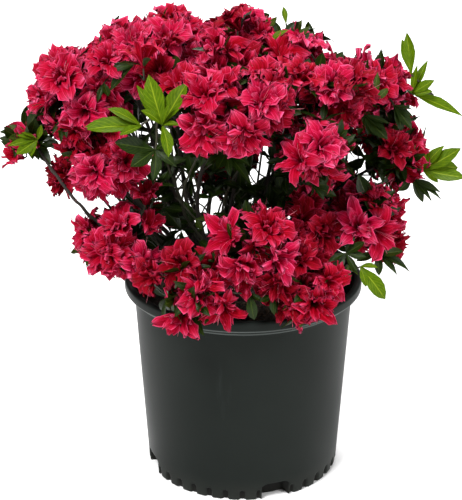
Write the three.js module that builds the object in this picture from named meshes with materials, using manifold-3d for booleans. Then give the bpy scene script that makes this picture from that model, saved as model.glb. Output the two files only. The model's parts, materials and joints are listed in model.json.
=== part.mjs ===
// An azalea shrub in its nursery pot: the pot, the potting mix, a short stem base,
// the stems and boughs, and the masses of blossom and leaves that they carry.
// Millimetres, +Z up. The origin is the middle of the pot's flat underside, and -Y is the front.
import * as THREE from 'three';
import { mergeVertices } from 'three/addons/utils/BufferGeometryUtils.js';
import Module from 'manifold-3d';

const wasm = await Module();
wasm.setup();

const GAP = 0.3;                 // air between neighbouring pieces
const ROUND_SEGMENTS = 36;       // flats round the pot

// Pot: a trade 3 gallon nursery container
const POT_HEIGHT = 240;
const RIM_RADIUS = 139.7;        // 279 mm over the rolled rim
const RIM_ROUND = 2.5;
const RIM_FLAT = 6;
const LIP_BOTTOM = 227;
const BAND_RADIUS = 131.5;
const BAND_BOTTOM = 221;
const BODY_TOP_RADIUS = 128.5;
const FOOT_RADIUS = 115;
const FOOT_ROUND = 2;
const WALL = 2.4;
const FLOOR = 3;
const FOOT_RING_HEIGHT = 25;     // the heavy ring that the drain notches are cut into
const FOOT_RING_DEPTH = 16;
const DRAIN_NOTCH = { count: 4, first: -70, width: 35, depth: 13, height: 21 };
const FOOT_DIMPLE = { count: 36, radius: 5, depth: 3, height: 14, sides: 4 };

// Potting mix and stem base
const MIX_TOP = 210;
const CROWN_MIDDLE = [-22, 4];
const CROWN_HEIGHT = 34;
const CROWN_FOOT_RADIUS = 25;
const CROWN_TOP_RADIUS = 17;
const CROWN_SIDES = 15;
const CROWN_RINGS = 4;
const CROWN_LOBES = 5;
const CROWN_LOBE_RISE = 0.16;

// Stems and masses
const LIMB_SIDES = 5;
const LIMB_STEPS = 6;
const LIMB_ROOTED = 10;          // how deep a stem starts inside the stem base
const MASS_SEGMENTS = [11, 7];   // round and up
const MASS_LOBES = 8;
const MASS_LOBE_RISE = 0.28;
const MASS_LOBE_WIDTH = 0.16;
const MASS_HOLLOW = 0.86;
const MASS_CLEARANCE = 0.8;

// Each mass: its middle, its half sizes along X, Y and Z, and the shoot tips it reaches.
const MASSES = {
  left_shoulder: { middle: [-192, -20, 464], half: [52, 46, 52] },
  left_low: { middle: [-160, -52, 392], half: [49, 42, 34] },
  left_tip: { middle: [-240, -20, 414], half: [26, 22, 23], tips: [[-272, -20, 400]] },
  upper_left: { middle: [-128, -20, 506], half: [44, 42, 38] },
  top_left: { middle: [-78, 0, 519], half: [41, 42, 39], tips: [[-84, 0, 560]] },
  top_mid: { middle: [-6, 30, 513], half: [39, 42, 40], tips: [[-2, 20, 562]] },
  top_right: { middle: [56, 38, 498], half: [38, 38, 36], tips: [[48, 30, 556]] },
  centre_front: { middle: [-29, -120, 477], half: [40, 38, 50] },
  centre_right_front: { middle: [23, -110, 490], half: [36, 38, 44] },
  right_shoulder: { middle: [100, -50, 473], half: [34, 40, 40] },
  right_mid: { middle: [82, -110, 430], half: [38, 36, 35] },
  far_right_top: { middle: [150, 20, 472], half: [37, 44, 35] },
  far_right_mid: {
    middle: [172, 10, 384], half: [39, 40, 33],
    tips: [[248, 10, 363], [226, 10, 401]],
  },
  low_left: { middle: [-142, -60, 308], half: [50, 44, 45] },
  low_front_left: { middle: [-48, -150, 282], half: [45, 30, 42] },
  low_centre: { middle: [7, -120, 327], half: [48, 38, 41] },
  low_front_right: { middle: [62, -130, 279], half: [49, 36, 40] },
  low_right_back: { middle: [77, -10, 317], half: [48, 46, 42] },
  low_right: { middle: [145, -40, 323], half: [41, 46, 44], tips: [[156, -100, 254]] },
  inner_leaves_left: { middle: [-86, 8, 340], half: [19, 26, 30] },
  inner_leaves_right: { middle: [34, 62, 330], half: [28, 26, 24] },
  fresh_shoot_left: {
    middle: [-92, -130, 476], half: [24, 16, 26],
    tips: [[-158, -130, 472], [-94, -122, 522], [-57, -122, 511], [-70, -142, 442]],
  },
  fresh_shoot_right: {
    middle: [214, 20, 452], half: [20, 16, 26],
    tips: [[248, 20, 431], [186, 20, 521], [226, 20, 496]],
  },
  back_left_top: { middle: [-100, 108, 456], half: [50, 46, 46] },
  back_mid_top: { middle: [-8, 126, 474], half: [52, 46, 46] },
  back_right_top: { middle: [90, 116, 438], half: [50, 46, 42] },
  back_mid_low: { middle: [-16, 96, 330], half: [34, 32, 27] },
  back_left_side: { middle: [-172, 78, 418], half: [46, 44, 44] },
  back_right_side: { middle: [168, 92, 412], half: [46, 44, 42] },
  back_right_low: { middle: [108, 92, 300], half: [50, 44, 46] },
  back_left_low: { middle: [-126, 72, 272], half: [46, 42, 32] },
};

// Each limb: the mass it ends in, a point it passes through, and its radius at foot and tip.
// It starts on the stem base, or a share of the way along the limb that it forks from.
const LIMBS = {
  stem_left: { into: 'left_low', through: [-116, -34, 336], foot: 4, tip: 2.4 },
  stem_left_shoulder: { into: 'left_shoulder', through: [-104, -4, 356], foot: 4, tip: 2.4 },
  stem_upper_left: { into: 'upper_left', through: [-84, -4, 352], foot: 4.2, tip: 2.4 },
  stem_top_left: { into: 'top_left', through: [-67, 0, 340], foot: 4.4, tip: 2.4 },
  stem_centre_front: { into: 'centre_front', through: [-52, -26, 334], foot: 4, tip: 2.4 },
  stem_top_mid: { into: 'top_mid', through: [-40, 6, 330], foot: 4, tip: 2.4 },
  stem_centre_right: { into: 'centre_right_front', through: [-14, -18, 334], foot: 3.6, tip: 2.4 },
  stem_top_right: { into: 'top_right', through: [28, 2, 360], foot: 4, tip: 2.4 },
  stem_right_shoulder: { into: 'right_shoulder', through: [48, -18, 352], foot: 3.8, tip: 2.4 },
  stem_far_right: { into: 'far_right_top', through: [84, 16, 336], foot: 4.2, tip: 2.4 },
  stem_low_right: { into: 'low_right', through: [70, -18, 272], foot: 3.6, tip: 2.4 },
  stem_low_left: { into: 'low_left', through: [-86, -28, 262], foot: 3.6, tip: 2.4 },
  stem_low_front_left: { into: 'low_front_left', through: [-52, -84, 262], foot: 3.2, tip: 2 },
  stem_low_centre: { into: 'low_centre', through: [-8, -56, 274], foot: 3.2, tip: 2 },
  stem_low_front_right: { into: 'low_front_right', through: [22, -60, 256], foot: 3.2, tip: 2 },
  stem_back_left: { into: 'back_left_top', through: [-74, 66, 346], foot: 4, tip: 2.4 },
  stem_back_mid: { into: 'back_mid_top', through: [-16, 78, 352], foot: 4, tip: 2.4 },
  stem_back_right: { into: 'back_right_top', through: [38, 66, 346], foot: 4, tip: 2.4 },
  stem_low_back_left: { into: 'back_left_low', through: [-74, 40, 252], foot: 3.2, tip: 2 },
  stem_low_back_mid: { into: 'back_mid_low', through: [-20, 46, 274], foot: 3.2, tip: 2 },
  bough_far_right_mid: {
    into: 'far_right_mid', from: 'stem_far_right', share: 0.42, through: [130, 12, 356],
    foot: 3, tip: 2,
  },
  bough_right_mid: {
    into: 'right_mid', from: 'stem_right_shoulder', share: 0.45, through: [62, -62, 386],
    foot: 2.9, tip: 2,
  },
  bough_back_left_side: {
    into: 'back_left_side', from: 'stem_back_left', share: 0.5, through: [-120, 72, 372],
    foot: 3, tip: 2,
  },
  bough_back_right_side: {
    into: 'back_right_side', from: 'stem_back_right', share: 0.5, through: [96, 80, 366],
    foot: 3, tip: 2,
  },
  bough_back_right_low: {
    into: 'back_right_low', from: 'stem_back_right', share: 0.25, through: [58, 62, 282],
    foot: 2.7, tip: 2,
  },
  arching_branch: {
    into: 'left_tip', out: 'low_left', through: [-190, -47, 359], foot: 2.4, tip: 1.6,
  },
};

function hex(color, roughness) {
  return new THREE.MeshStandardMaterial({ color, roughness, metalness: 0 });
}

const POT_PLASTIC = hex(0x2f3533, 0.5);
const POTTING_MIX = hex(0x2a1e16, 1);
const BARK = hex(0x3a2c22, 0.9);
const BLOSSOM = hex(0xc81c4c, 0.7);
const LEAVES = hex(0x2c4424, 0.6);
const FRESH_LEAVES = hex(0x86ad2e, 0.6);

// ---- Solids ----------------------------------------------------------------

function toSolid(geometry) {
  const bare = new THREE.BufferGeometry();
  bare.setAttribute('position', geometry.getAttribute('position').clone());
  if (geometry.index) bare.setIndex(geometry.index.clone());
  const merged = mergeVertices(bare, 1e-4);
  const corners = merged.index.array;
  const kept = [];
  for (let i = 0; i < corners.length; i += 3) {
    const [a, b, c] = [corners[i], corners[i + 1], corners[i + 2]];
    if (a !== b && b !== c && c !== a) kept.push(a, b, c);
  }
  return new wasm.Manifold(new wasm.Mesh({
    numProp: 3,
    vertProperties: new Float32Array(merged.getAttribute('position').array),
    triVerts: new Uint32Array(kept),
  }));
}

function toGeometry(solid) {
  const mesh = solid.getMesh();
  const geometry = new THREE.BufferGeometry();
  geometry.setAttribute('position', new THREE.BufferAttribute(mesh.vertProperties, 3));
  geometry.setIndex(new THREE.BufferAttribute(mesh.triVerts, 1));
  geometry.computeVertexNormals();
  return geometry;
}

function largest(solid) {
  return solid.decompose().reduce((a, b) => (b.volume() > a.volume() ? b : a));
}

function lathe(profile) {
  const points = profile.map(([radius, height]) => new THREE.Vector2(radius, height));
  return new THREE.LatheGeometry(points, ROUND_SEGMENTS).rotateX(Math.PI / 2);
}

// A closed skin over rings of points, with a middle point at each end.
function skin(rings) {
  const sides = rings[0].length;
  const points = rings.flat();
  const middle = (ring) => ring.reduce((sum, p) => sum.add(p), new THREE.Vector3()).divideScalar(sides);
  points.push(middle(rings[0]), middle(rings.at(-1)));
  const foot = points.length - 2;
  const tip = points.length - 1;
  const last = (rings.length - 1) * sides;
  const corners = [];
  for (let side = 0; side < sides; side++) {
    const next = (side + 1) % sides;
    for (let ring = 0; ring < rings.length - 1; ring++) {
      const low = ring * sides;
      const high = low + sides;
      corners.push(low + side, low + next, high + side);
      corners.push(low + next, high + next, high + side);
    }
    corners.push(foot, next, side);
    corners.push(tip, last + side, last + next);
  }
  const geometry = new THREE.BufferGeometry();
  geometry.setAttribute('position', new THREE.Float32BufferAttribute(points.flatMap((p) => [...p]), 3));
  geometry.setIndex(corners);
  return geometry;
}

// Repeatable numbers from 0 to 1.
function randomFrom(seed) {
  let state = seed;
  return () => {
    state = (state * 1664525 + 1013904223) % 4294967296;
    return state / 4294967296;
  };
}

// ---- Pot, potting mix and stem base ----------------------------------------

function potOutside() {
  return [
    [FOOT_RADIUS - FOOT_ROUND, 0],
    [FOOT_RADIUS, FOOT_ROUND],
    [BODY_TOP_RADIUS, BAND_BOTTOM],
    [BAND_RADIUS, BAND_BOTTOM],
    [BAND_RADIUS, LIP_BOTTOM],
    [RIM_RADIUS - RIM_ROUND, LIP_BOTTOM],
    [RIM_RADIUS, LIP_BOTTOM + RIM_ROUND],
    [RIM_RADIUS, POT_HEIGHT - RIM_ROUND],
    [RIM_RADIUS - RIM_ROUND, POT_HEIGHT],
  ];
}

// The inside of the wall, from the floor up to a height, held off by a margin.
function wallInside(height, margin) {
  const wallRadius = (z) => THREE.MathUtils.mapLinear(z, 0, BAND_BOTTOM, FOOT_RADIUS, BODY_TOP_RADIUS) - WALL;
  return [
    [FOOT_RADIUS - FOOT_RING_DEPTH - margin, FLOOR + margin],
    [FOOT_RADIUS - FOOT_RING_DEPTH - margin, FOOT_RING_HEIGHT + margin],
    [wallRadius(FOOT_RING_HEIGHT) - margin, FOOT_RING_HEIGHT + margin],
    [wallRadius(height) - margin, height],
  ];
}

function turned(geometry, degrees) {
  return geometry.rotateZ(THREE.MathUtils.degToRad(degrees));
}

function pot() {
  const inside = wallInside(BAND_BOTTOM, 0);
  let solid = toSolid(lathe([
    [0, 0],
    ...potOutside(),
    [RIM_RADIUS - RIM_ROUND - RIM_FLAT, POT_HEIGHT],
    [BAND_RADIUS - WALL, LIP_BOTTOM],
    ...inside.reverse(),
    [0, FLOOR],
  ]));
  const { depth, width, height, count, first } = DRAIN_NOTCH;
  const notches = Array.from({ length: count }, (_, i) => first + (i * 360) / count);
  for (const angle of notches) {
    const block = new THREE.BoxGeometry(2 * depth, width, 2 * height).translate(FOOT_RADIUS, 0, 0);
    solid = solid.subtract(toSolid(turned(block, angle)));
  }
  const clearAngle = THREE.MathUtils.radToDeg((width / 2 + FOOT_DIMPLE.radius) / FOOT_RADIUS);
  for (let i = 0; i < FOOT_DIMPLE.count; i++) {
    const angle = (i * 360) / FOOT_DIMPLE.count;
    const away = (other) => Math.abs(((angle - other + 540) % 360) - 180);
    if (notches.some((notch) => away(notch) < clearAngle)) continue;
    const scoop = new THREE.CylinderGeometry(
      FOOT_DIMPLE.radius, FOOT_DIMPLE.radius, 2 * FOOT_DIMPLE.height, FOOT_DIMPLE.sides)
      .rotateX(Math.PI / 2)
      .translate(FOOT_RADIUS + FOOT_DIMPLE.radius - FOOT_DIMPLE.depth, 0, 0);
    solid = solid.subtract(toSolid(turned(scoop, angle)));
  }
  return solid;
}

function rootBall() {
  return toSolid(lathe([
    [0, FLOOR + GAP],
    ...wallInside(MIX_TOP, GAP),
    [0, MIX_TOP],
  ]));
}

// The short foot that the stems rise from, flat where it meets the mix and flared into root lobes.
function stemBase(swell) {
  const rings = [];
  for (let ring = 0; ring <= CROWN_RINGS; ring++) {
    const up = ring / CROWN_RINGS;
    const flare = (1 - up) ** 2;
    const radius = CROWN_TOP_RADIUS + (CROWN_FOOT_RADIUS - CROWN_TOP_RADIUS) * flare + swell;
    const z = MIX_TOP + GAP + CROWN_HEIGHT * up + swell * (2 * up - 1);
    rings.push(Array.from({ length: CROWN_SIDES }, (_, side) => {
      const angle = (side / CROWN_SIDES) * 2 * Math.PI;
      const reach = radius * (1 + CROWN_LOBE_RISE * flare * Math.cos(CROWN_LOBES * angle));
      return new THREE.Vector3(
        CROWN_MIDDLE[0] + reach * Math.cos(angle), CROWN_MIDDLE[1] + reach * Math.sin(angle), z);
    }));
  }
  return toSolid(skin(rings));
}

// ---- Stems and boughs ------------------------------------------------------

function limbStart(limb) {
  if (limb.from) return limbCurve(LIMBS[limb.from]).getPointAt(limb.share);
  if (limb.out) return new THREE.Vector3(...MASSES[limb.out].middle);
  const middle = new THREE.Vector3(...CROWN_MIDDLE, MIX_TOP + CROWN_HEIGHT - LIMB_ROOTED);
  const lean = new THREE.Vector3(...limb.through).sub(middle).setZ(0).normalize();
  return middle.addScaledVector(lean, CROWN_TOP_RADIUS * 0.7);
}

function limbCurve(limb) {
  return new THREE.CatmullRomCurve3([
    limbStart(limb),
    new THREE.Vector3(...limb.through),
    new THREE.Vector3(...MASSES[limb.into].middle),
  ]);
}

function limbSolid(limb, swell) {
  const curve = limbCurve(limb);
  const frames = curve.computeFrenetFrames(LIMB_STEPS, false);
  const rings = [];
  for (let step = 0; step <= LIMB_STEPS; step++) {
    const along = step / LIMB_STEPS;
    const radius = THREE.MathUtils.lerp(limb.foot, limb.tip, along) + swell;
    const middle = curve.getPointAt(along);
    rings.push(Array.from({ length: LIMB_SIDES }, (_, side) => {
      const angle = (side / LIMB_SIDES) * 2 * Math.PI;
      return middle.clone()
        .addScaledVector(frames.normals[step], radius * Math.cos(angle))
        .addScaledVector(frames.binormals[step], radius * Math.sin(angle));
    }));
  }
  return toSolid(skin(rings));
}

// ---- Masses of foliage -----------------------------------------------------

// An uneven ball: rounded lobes where the trusses stand, and points drawn out to the shoot tips.
function massSolid(mass, seed, swell) {
  const random = randomFrom(seed);
  const lobes = Array.from({ length: MASS_LOBES }, () => {
    const height = 2 * random() - 1;
    const angle = 2 * Math.PI * random();
    const level = Math.sqrt(1 - height * height);
    return new THREE.Vector3(level * Math.cos(angle), level * Math.sin(angle), height);
  });
  const ball = new THREE.SphereGeometry(1, ...MASS_SEGMENTS).rotateX(Math.PI / 2);
  ball.deleteAttribute('normal');
  ball.deleteAttribute('uv');
  const geometry = mergeVertices(ball);
  const position = geometry.getAttribute('position');
  const middle = new THREE.Vector3(...mass.middle);
  const half = new THREE.Vector3(...mass.half);
  const directions = Array.from({ length: position.count }, (_, i) =>
    new THREE.Vector3().fromBufferAttribute(position, i));
  const points = directions.map((direction) => {
    const nearest = Math.max(...lobes.map((lobe) => lobe.dot(direction)));
    const bump = Math.exp(-(((1 - nearest) / MASS_LOBE_WIDTH) ** 2));
    return direction.clone().multiplyScalar(MASS_HOLLOW + MASS_LOBE_RISE * bump).multiply(half);
  });
  for (const tip of mass.tips ?? []) {
    const reach = new THREE.Vector3(...tip).sub(middle);
    const heading = reach.clone().divide(half).normalize();
    const dots = directions.map((direction) => direction.dot(heading));
    points[dots.indexOf(Math.max(...dots))] = reach;
  }
  points.forEach((point, i) => {
    point.addScaledVector(point.clone().normalize(), swell).add(middle);
    position.setXYZ(i, point.x, point.y, point.z);
  });
  return toSolid(geometry);
}

// ---- Assembly --------------------------------------------------------------

const group = new THREE.Group();

function addNode(name, solid, material) {
  const mesh = new THREE.Mesh(toGeometry(solid), material);
  mesh.name = name;
  group.add(mesh);
}

addNode('pot', pot(), POT_PLASTIC);
addNode('root_ball', rootBall(), POTTING_MIX);
addNode('stem_base', stemBase(0), BARK);

// Masses that a limb ends in cut it short, and each later limb stops short of the earlier ones.
const massNames = Object.keys(MASSES);
const massSeed = (name) => 11 + 7 * massNames.indexOf(name);
const swollenMass = (name) => massSolid(MASSES[name], massSeed(name), MASS_CLEARANCE);
let wood = stemBase(GAP);
for (const [name, limb] of Object.entries(LIMBS)) {
  const ends = [limb.into, limb.out].filter(Boolean).map(swollenMass);
  const cutShort = (solid) => ends.reduce((rest, end) => rest.subtract(end), solid);
  addNode(name, largest(cutShort(limbSolid(limb, 0)).subtract(wood)), BARK);
  wood = wood.add(cutShort(limbSolid(limb, GAP)));
}

// Each mass is cut round the limbs, the pot and the masses before it.
const potShape = toSolid(lathe([
  [0, 0],
  ...potOutside().map(([radius, height]) => [radius + GAP, height]),
  [RIM_RADIUS - RIM_ROUND, POT_HEIGHT + GAP],
  [0, POT_HEIGHT + GAP],
]));
let taken = wood.add(potShape);
for (const name of massNames) {
  const solid = massSolid(MASSES[name], massSeed(name), 0).subtract(taken);
  let material = BLOSSOM;
  if (name.startsWith('inner_leaves')) material = LEAVES;
  if (name.startsWith('fresh_shoot')) material = FRESH_LEAVES;
  addNode(name, largest(solid), material);
  taken = taken.add(swollenMass(name));
}

export default group;
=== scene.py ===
"""An azalea shrub in flower in its nursery pot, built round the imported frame.

Metres, +Z up, -Y is the front. Sizes given in millimetres are multiplied by MM.
"""
import itertools
import json
import math

import bpy
import numpy as np
from mathutils import Matrix, Vector

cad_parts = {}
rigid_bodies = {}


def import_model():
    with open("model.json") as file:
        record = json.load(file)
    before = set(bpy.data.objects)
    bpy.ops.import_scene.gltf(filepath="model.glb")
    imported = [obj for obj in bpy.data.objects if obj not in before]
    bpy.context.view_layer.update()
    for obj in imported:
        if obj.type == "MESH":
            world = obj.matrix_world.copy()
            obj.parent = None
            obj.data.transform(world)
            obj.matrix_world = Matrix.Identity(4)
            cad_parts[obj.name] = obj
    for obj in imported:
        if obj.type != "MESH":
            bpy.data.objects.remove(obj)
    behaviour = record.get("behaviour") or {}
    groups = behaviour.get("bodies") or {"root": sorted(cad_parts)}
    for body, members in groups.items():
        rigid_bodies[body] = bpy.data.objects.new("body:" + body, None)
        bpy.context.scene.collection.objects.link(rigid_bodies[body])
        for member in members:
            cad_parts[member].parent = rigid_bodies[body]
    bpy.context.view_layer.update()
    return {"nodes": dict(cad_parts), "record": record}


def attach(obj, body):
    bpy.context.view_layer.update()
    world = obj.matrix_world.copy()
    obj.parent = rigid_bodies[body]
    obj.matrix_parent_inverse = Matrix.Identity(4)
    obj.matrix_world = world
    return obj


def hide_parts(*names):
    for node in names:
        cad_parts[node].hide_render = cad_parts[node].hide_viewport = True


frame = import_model()

MM = 0.001
BODY = "root"
UV_NAME = "OFBake"
UP = Vector((0, 0, 1))
SEED = 41
CAMERA_PLACE = Vector((0, -1.613, 0.929))

# ---- Sizes, as the CAD part has them ----------------------------------------

POT_HEIGHT = 240 * MM
RIM_RADIUS = 139.7 * MM
LIP_BOTTOM = 227 * MM
BAND_RADIUS = 131.5 * MM
BAND_BOTTOM = 221 * MM
BODY_TOP_RADIUS = 128.5 * MM
FOOT_RADIUS = 115 * MM
WALL = 2.4 * MM
FLOOR = 3 * MM
MIX_TOP = 210 * MM
CROWN_MIDDLE = Vector((-22 * MM, 4 * MM, 0))
CROWN_HEIGHT = 34 * MM
CROWN_FOOT_RADIUS = 25 * MM
CROWN_TOP_RADIUS = 17 * MM

# Each limb in millimetres: the mass it ends in, a point it passes through, its radius at foot
# and tip, and, for a bough, the limb it forks from and the share of the way along.
LIMBS = {
    "stem_left": ("left_low", (-116, -34, 336), 4, 2.4),
    "stem_left_shoulder": ("left_shoulder", (-104, -4, 356), 4, 2.4),
    "stem_upper_left": ("upper_left", (-84, -4, 352), 4.2, 2.4),
    "stem_top_left": ("top_left", (-67, 0, 340), 4.4, 2.4),
    "stem_centre_front": ("centre_front", (-52, -26, 334), 4, 2.4),
    "stem_top_mid": ("top_mid", (-40, 6, 330), 4, 2.4),
    "stem_centre_right": ("centre_right_front", (-14, -18, 334), 3.6, 2.4),
    "stem_top_right": ("top_right", (28, 2, 360), 4, 2.4),
    "stem_right_shoulder": ("right_shoulder", (48, -18, 352), 3.8, 2.4),
    "stem_far_right": ("far_right_top", (84, 16, 336), 4.2, 2.4),
    "stem_low_right": ("low_right", (70, -18, 272), 3.6, 2.4),
    "stem_low_left": ("low_left", (-86, -28, 262), 3.6, 2.4),
    "stem_low_front_left": ("low_front_left", (-52, -84, 262), 3.2, 2),
    "stem_low_centre": ("low_centre", (-8, -56, 274), 3.2, 2),
    "stem_low_front_right": ("low_front_right", (22, -60, 256), 3.2, 2),
    "stem_back_left": ("back_left_top", (-74, 66, 346), 4, 2.4),
    "stem_back_mid": ("back_mid_top", (-16, 78, 352), 4, 2.4),
    "stem_back_right": ("back_right_top", (38, 66, 346), 4, 2.4),
    "stem_low_back_left": ("back_left_low", (-74, 40, 252), 3.2, 2),
    "stem_low_back_mid": ("back_mid_low", (-20, 46, 274), 3.2, 2),
    "bough_far_right_mid": ("far_right_mid", (130, 12, 356), 3, 2, "stem_far_right", 0.42),
    "bough_right_mid": ("right_mid", (62, -62, 386), 2.9, 2, "stem_right_shoulder", 0.45),
    "bough_back_left_side": ("back_left_side", (-120, 72, 372), 3, 2, "stem_back_left", 0.5),
    "bough_back_right_side": ("back_right_side", (96, 80, 366), 3, 2, "stem_back_right", 0.5),
    "bough_back_right_low": ("back_right_low", (58, 62, 282), 2.7, 2, "stem_back_right", 0.25),
    "arching_branch": ("left_tip", (-197, -58, 365), 2.8, 2.0, "low_left", 0),
}


# ---- Mesh helpers -----------------------------------------------------------


def add_object(name, data):
    obj = bpy.data.objects.new(name, data)
    bpy.context.scene.collection.objects.link(obj)
    return obj


def mesh_object(name, points, faces, uvs=None, material=None):
    """A smooth mesh from points and faces, with one UV pair per point if given."""
    mesh = bpy.data.meshes.new(name)
    mesh.from_pydata([tuple(p) for p in points], [], [tuple(f) for f in faces])
    if uvs is not None:
        layer = mesh.uv_layers.new(name=UV_NAME)
        corners = np.empty(len(mesh.loops), dtype=np.int32)
        mesh.loops.foreach_get("vertex_index", corners)
        layer.data.foreach_set("uv", np.asarray(uvs, dtype=np.float32)[corners].ravel())
    if material:
        mesh.materials.append(material)
    mesh.shade_smooth()
    return add_object(name, mesh)


def grid_faces(rows, cols, closed=False):
    """Quads of a grid of points with rows x cols points; closed joins the last column to the first."""
    return [
        (r * cols + c, r * cols + (c + 1) % cols, (r + 1) * cols + (c + 1) % cols, (r + 1) * cols + c)
        for r in range(rows - 1)
        for c in range(cols if closed else cols - 1)
    ]


def ring(angle, radius, z, middle=(0, 0)):
    """Points round an upright axis, with one radius and one height for all or one for each."""
    return np.stack([middle[0] + radius * np.cos(angle), middle[1] + radius * np.sin(angle),
                     np.broadcast_to(z, angle.shape)], -1)


def ringed_solid(name, rings, first, last, material, downward=False):
    """A closed solid from rings of points, with a point to close it at each end. The rings run up
    the outside, or down it where downward is set."""
    spokes = len(rings[0])
    points = np.concatenate([*rings, [first], [last]])
    faces = grid_faces(len(rings), spokes, closed=True)
    top = (len(rings) - 1) * spokes
    for a in range(spokes):
        b = (a + 1) % spokes
        faces += [(len(points) - 2, b, a), (len(points) - 1, top + a, top + b)]
    if downward:
        faces = [face[::-1] for face in faces]
    return mesh_object(name, points, faces, material=material)


def smoothstep(low, high, value):
    t = np.clip((value - low) / (high - low), 0, 1)
    return t * t * (3 - 2 * t)


def shaken(random, spread):
    return Vector(random.normal(0, spread, 3))


def aim(direction, face):
    """A turn that takes +Z to direction and +X as near to face as it can."""
    z = Vector(direction).normalized()
    x = Vector(face) - z * z.dot(Vector(face))
    if x.length < 1e-5:
        x = z.orthogonal()
    x.normalize()
    return Matrix((x, z.cross(x), z)).transposed().to_quaternion()


def around(direction, tilt, turn):
    """The direction tilted away from itself by tilt radians, towards the azimuth turn."""
    z = Vector(direction).normalized()
    x = z.orthogonal().normalized()
    side = x * math.cos(turn) + z.cross(x) * math.sin(turn)
    return (z * math.cos(tilt) + side * math.sin(tilt)).normalized()


# ---- Node helpers -----------------------------------------------------------


def feed(tree, socket, value):
    """Links a socket or a Flow to the socket, or sets it to a plain value."""
    value = value.socket if isinstance(value, Flow) else value
    if isinstance(value, bpy.types.NodeSocket):
        tree.links.new(value, socket)
    elif socket.type == "RGBA":
        socket.default_value = (*value, 1)
    else:
        socket.default_value = value


def add_node(tree, kind, inputs=None, **settings):
    """A new node with its settings, and with its inputs fed by name or number."""
    node = tree.nodes.new(kind)
    for name, value in settings.items():
        setattr(node, name, value)
    for label, value in (inputs or {}).items():
        feed(tree, node.inputs[label], value)
    return node


def math_step(operation, swapped=False):
    """A Flow method that adds one math node."""
    def step(self, *others):
        values = (*others, self) if swapped else (self, *others)
        return flow(self.tree, "ShaderNodeMath", dict(enumerate(values)), operation=operation)
    return step


class Flow:
    """A number, colour or direction in a node tree, which sums and products can be written with."""

    def __init__(self, tree, socket):
        self.tree = tree
        self.socket = socket

    __add__ = math_step("ADD")
    __sub__ = math_step("SUBTRACT")
    __rsub__ = math_step("SUBTRACT", swapped=True)
    __mul__ = math_step("MULTIPLY")
    __truediv__ = math_step("DIVIDE")
    __pow__ = math_step("POWER")
    __abs__ = math_step("ABSOLUTE")
    __lt__ = math_step("LESS_THAN")
    most = math_step("MAXIMUM")
    sine = math_step("SINE")

    def clamped(self):
        """The same, held between 0 and 1."""
        self.socket.node.use_clamp = True
        return self

    def parts(self):
        split = add_node(self.tree, "ShaderNodeSeparateXYZ", {0: self})
        return [Flow(self.tree, socket) for socket in split.outputs]

    def length(self):
        node = add_node(self.tree, "ShaderNodeVectorMath", {0: self}, operation="LENGTH")
        return Flow(self.tree, node.outputs["Value"])

    def stretched(self, *scale):
        return flow(self.tree, "ShaderNodeMapping", {"Vector": self, "Scale": scale})

    def noise(self, scale, detail=3.0, roughness=0.5):
        return flow(self.tree, "ShaderNodeTexNoise", {
            "Vector": self, "Scale": scale, "Detail": detail, "Roughness": roughness})


def flow(tree, kind, inputs=None, output=0, **settings):
    return Flow(tree, add_node(tree, kind, inputs, **settings).outputs[output])


def blend(share, first, second):
    """The first colour at share 0, turning into the second at share 1."""
    return flow(share.tree, "ShaderNodeMix", {0: share, 6: first, 7: second}, 2, data_type="RGBA")


# ---- Geometry Nodes ---------------------------------------------------------


def node_tree(name, **inputs):
    """A Geometry Nodes tree with these inputs, each a kind and a value, and those inputs by name."""
    tree = bpy.data.node_groups.new(name, "GeometryNodeTree")
    for label, (kind, value) in {"Geometry": ("Geometry", None), **inputs}.items():
        socket = tree.interface.new_socket(label, in_out="INPUT", socket_type="NodeSocket" + kind)
        if value is not None:
            socket.default_value = value
    tree.interface.new_socket("Geometry", in_out="OUTPUT", socket_type="NodeSocketGeometry")
    return tree, add_node(tree, "NodeGroupInput").outputs


def end_tree(tree, geometry, finish):
    """Makes the geometry real, sets its material and hands it out."""
    real = add_node(tree, "GeometryNodeRealizeInstances", {"Geometry": geometry})
    done = add_node(tree, "GeometryNodeSetMaterial", {"Geometry": real.outputs[0], "Material": finish})
    add_node(tree, "NodeGroupOutput", {"Geometry": done.outputs[0]})
    return tree


def named(tree, name, kind):
    return flow(tree, "GeometryNodeInputNamedAttribute", {"Name": name}, "Attribute", data_type=kind)


def scatter_tree():
    """Sets one of a collection's shapes on each point, turned and sized as the point says."""
    tree, given = node_tree(
        "Set out shapes", Shapes=("Collection", None), Finish=("Material", None), Size=("Float", 1.0))
    shapes = add_node(tree, "GeometryNodeCollectionInfo", {
        "Collection": given["Shapes"], "Separate Children": True, "Reset Children": True})
    place = add_node(tree, "GeometryNodeInstanceOnPoints", {
        "Points": given["Geometry"], "Instance": shapes.outputs[0], "Pick Instance": True,
        "Instance Index": named(tree, "kind", "INT"), "Rotation": named(tree, "turn", "QUATERNION"),
        "Scale": named(tree, "size", "FLOAT") * given["Size"]})
    return end_tree(tree, place.outputs[0], given["Finish"])


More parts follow.
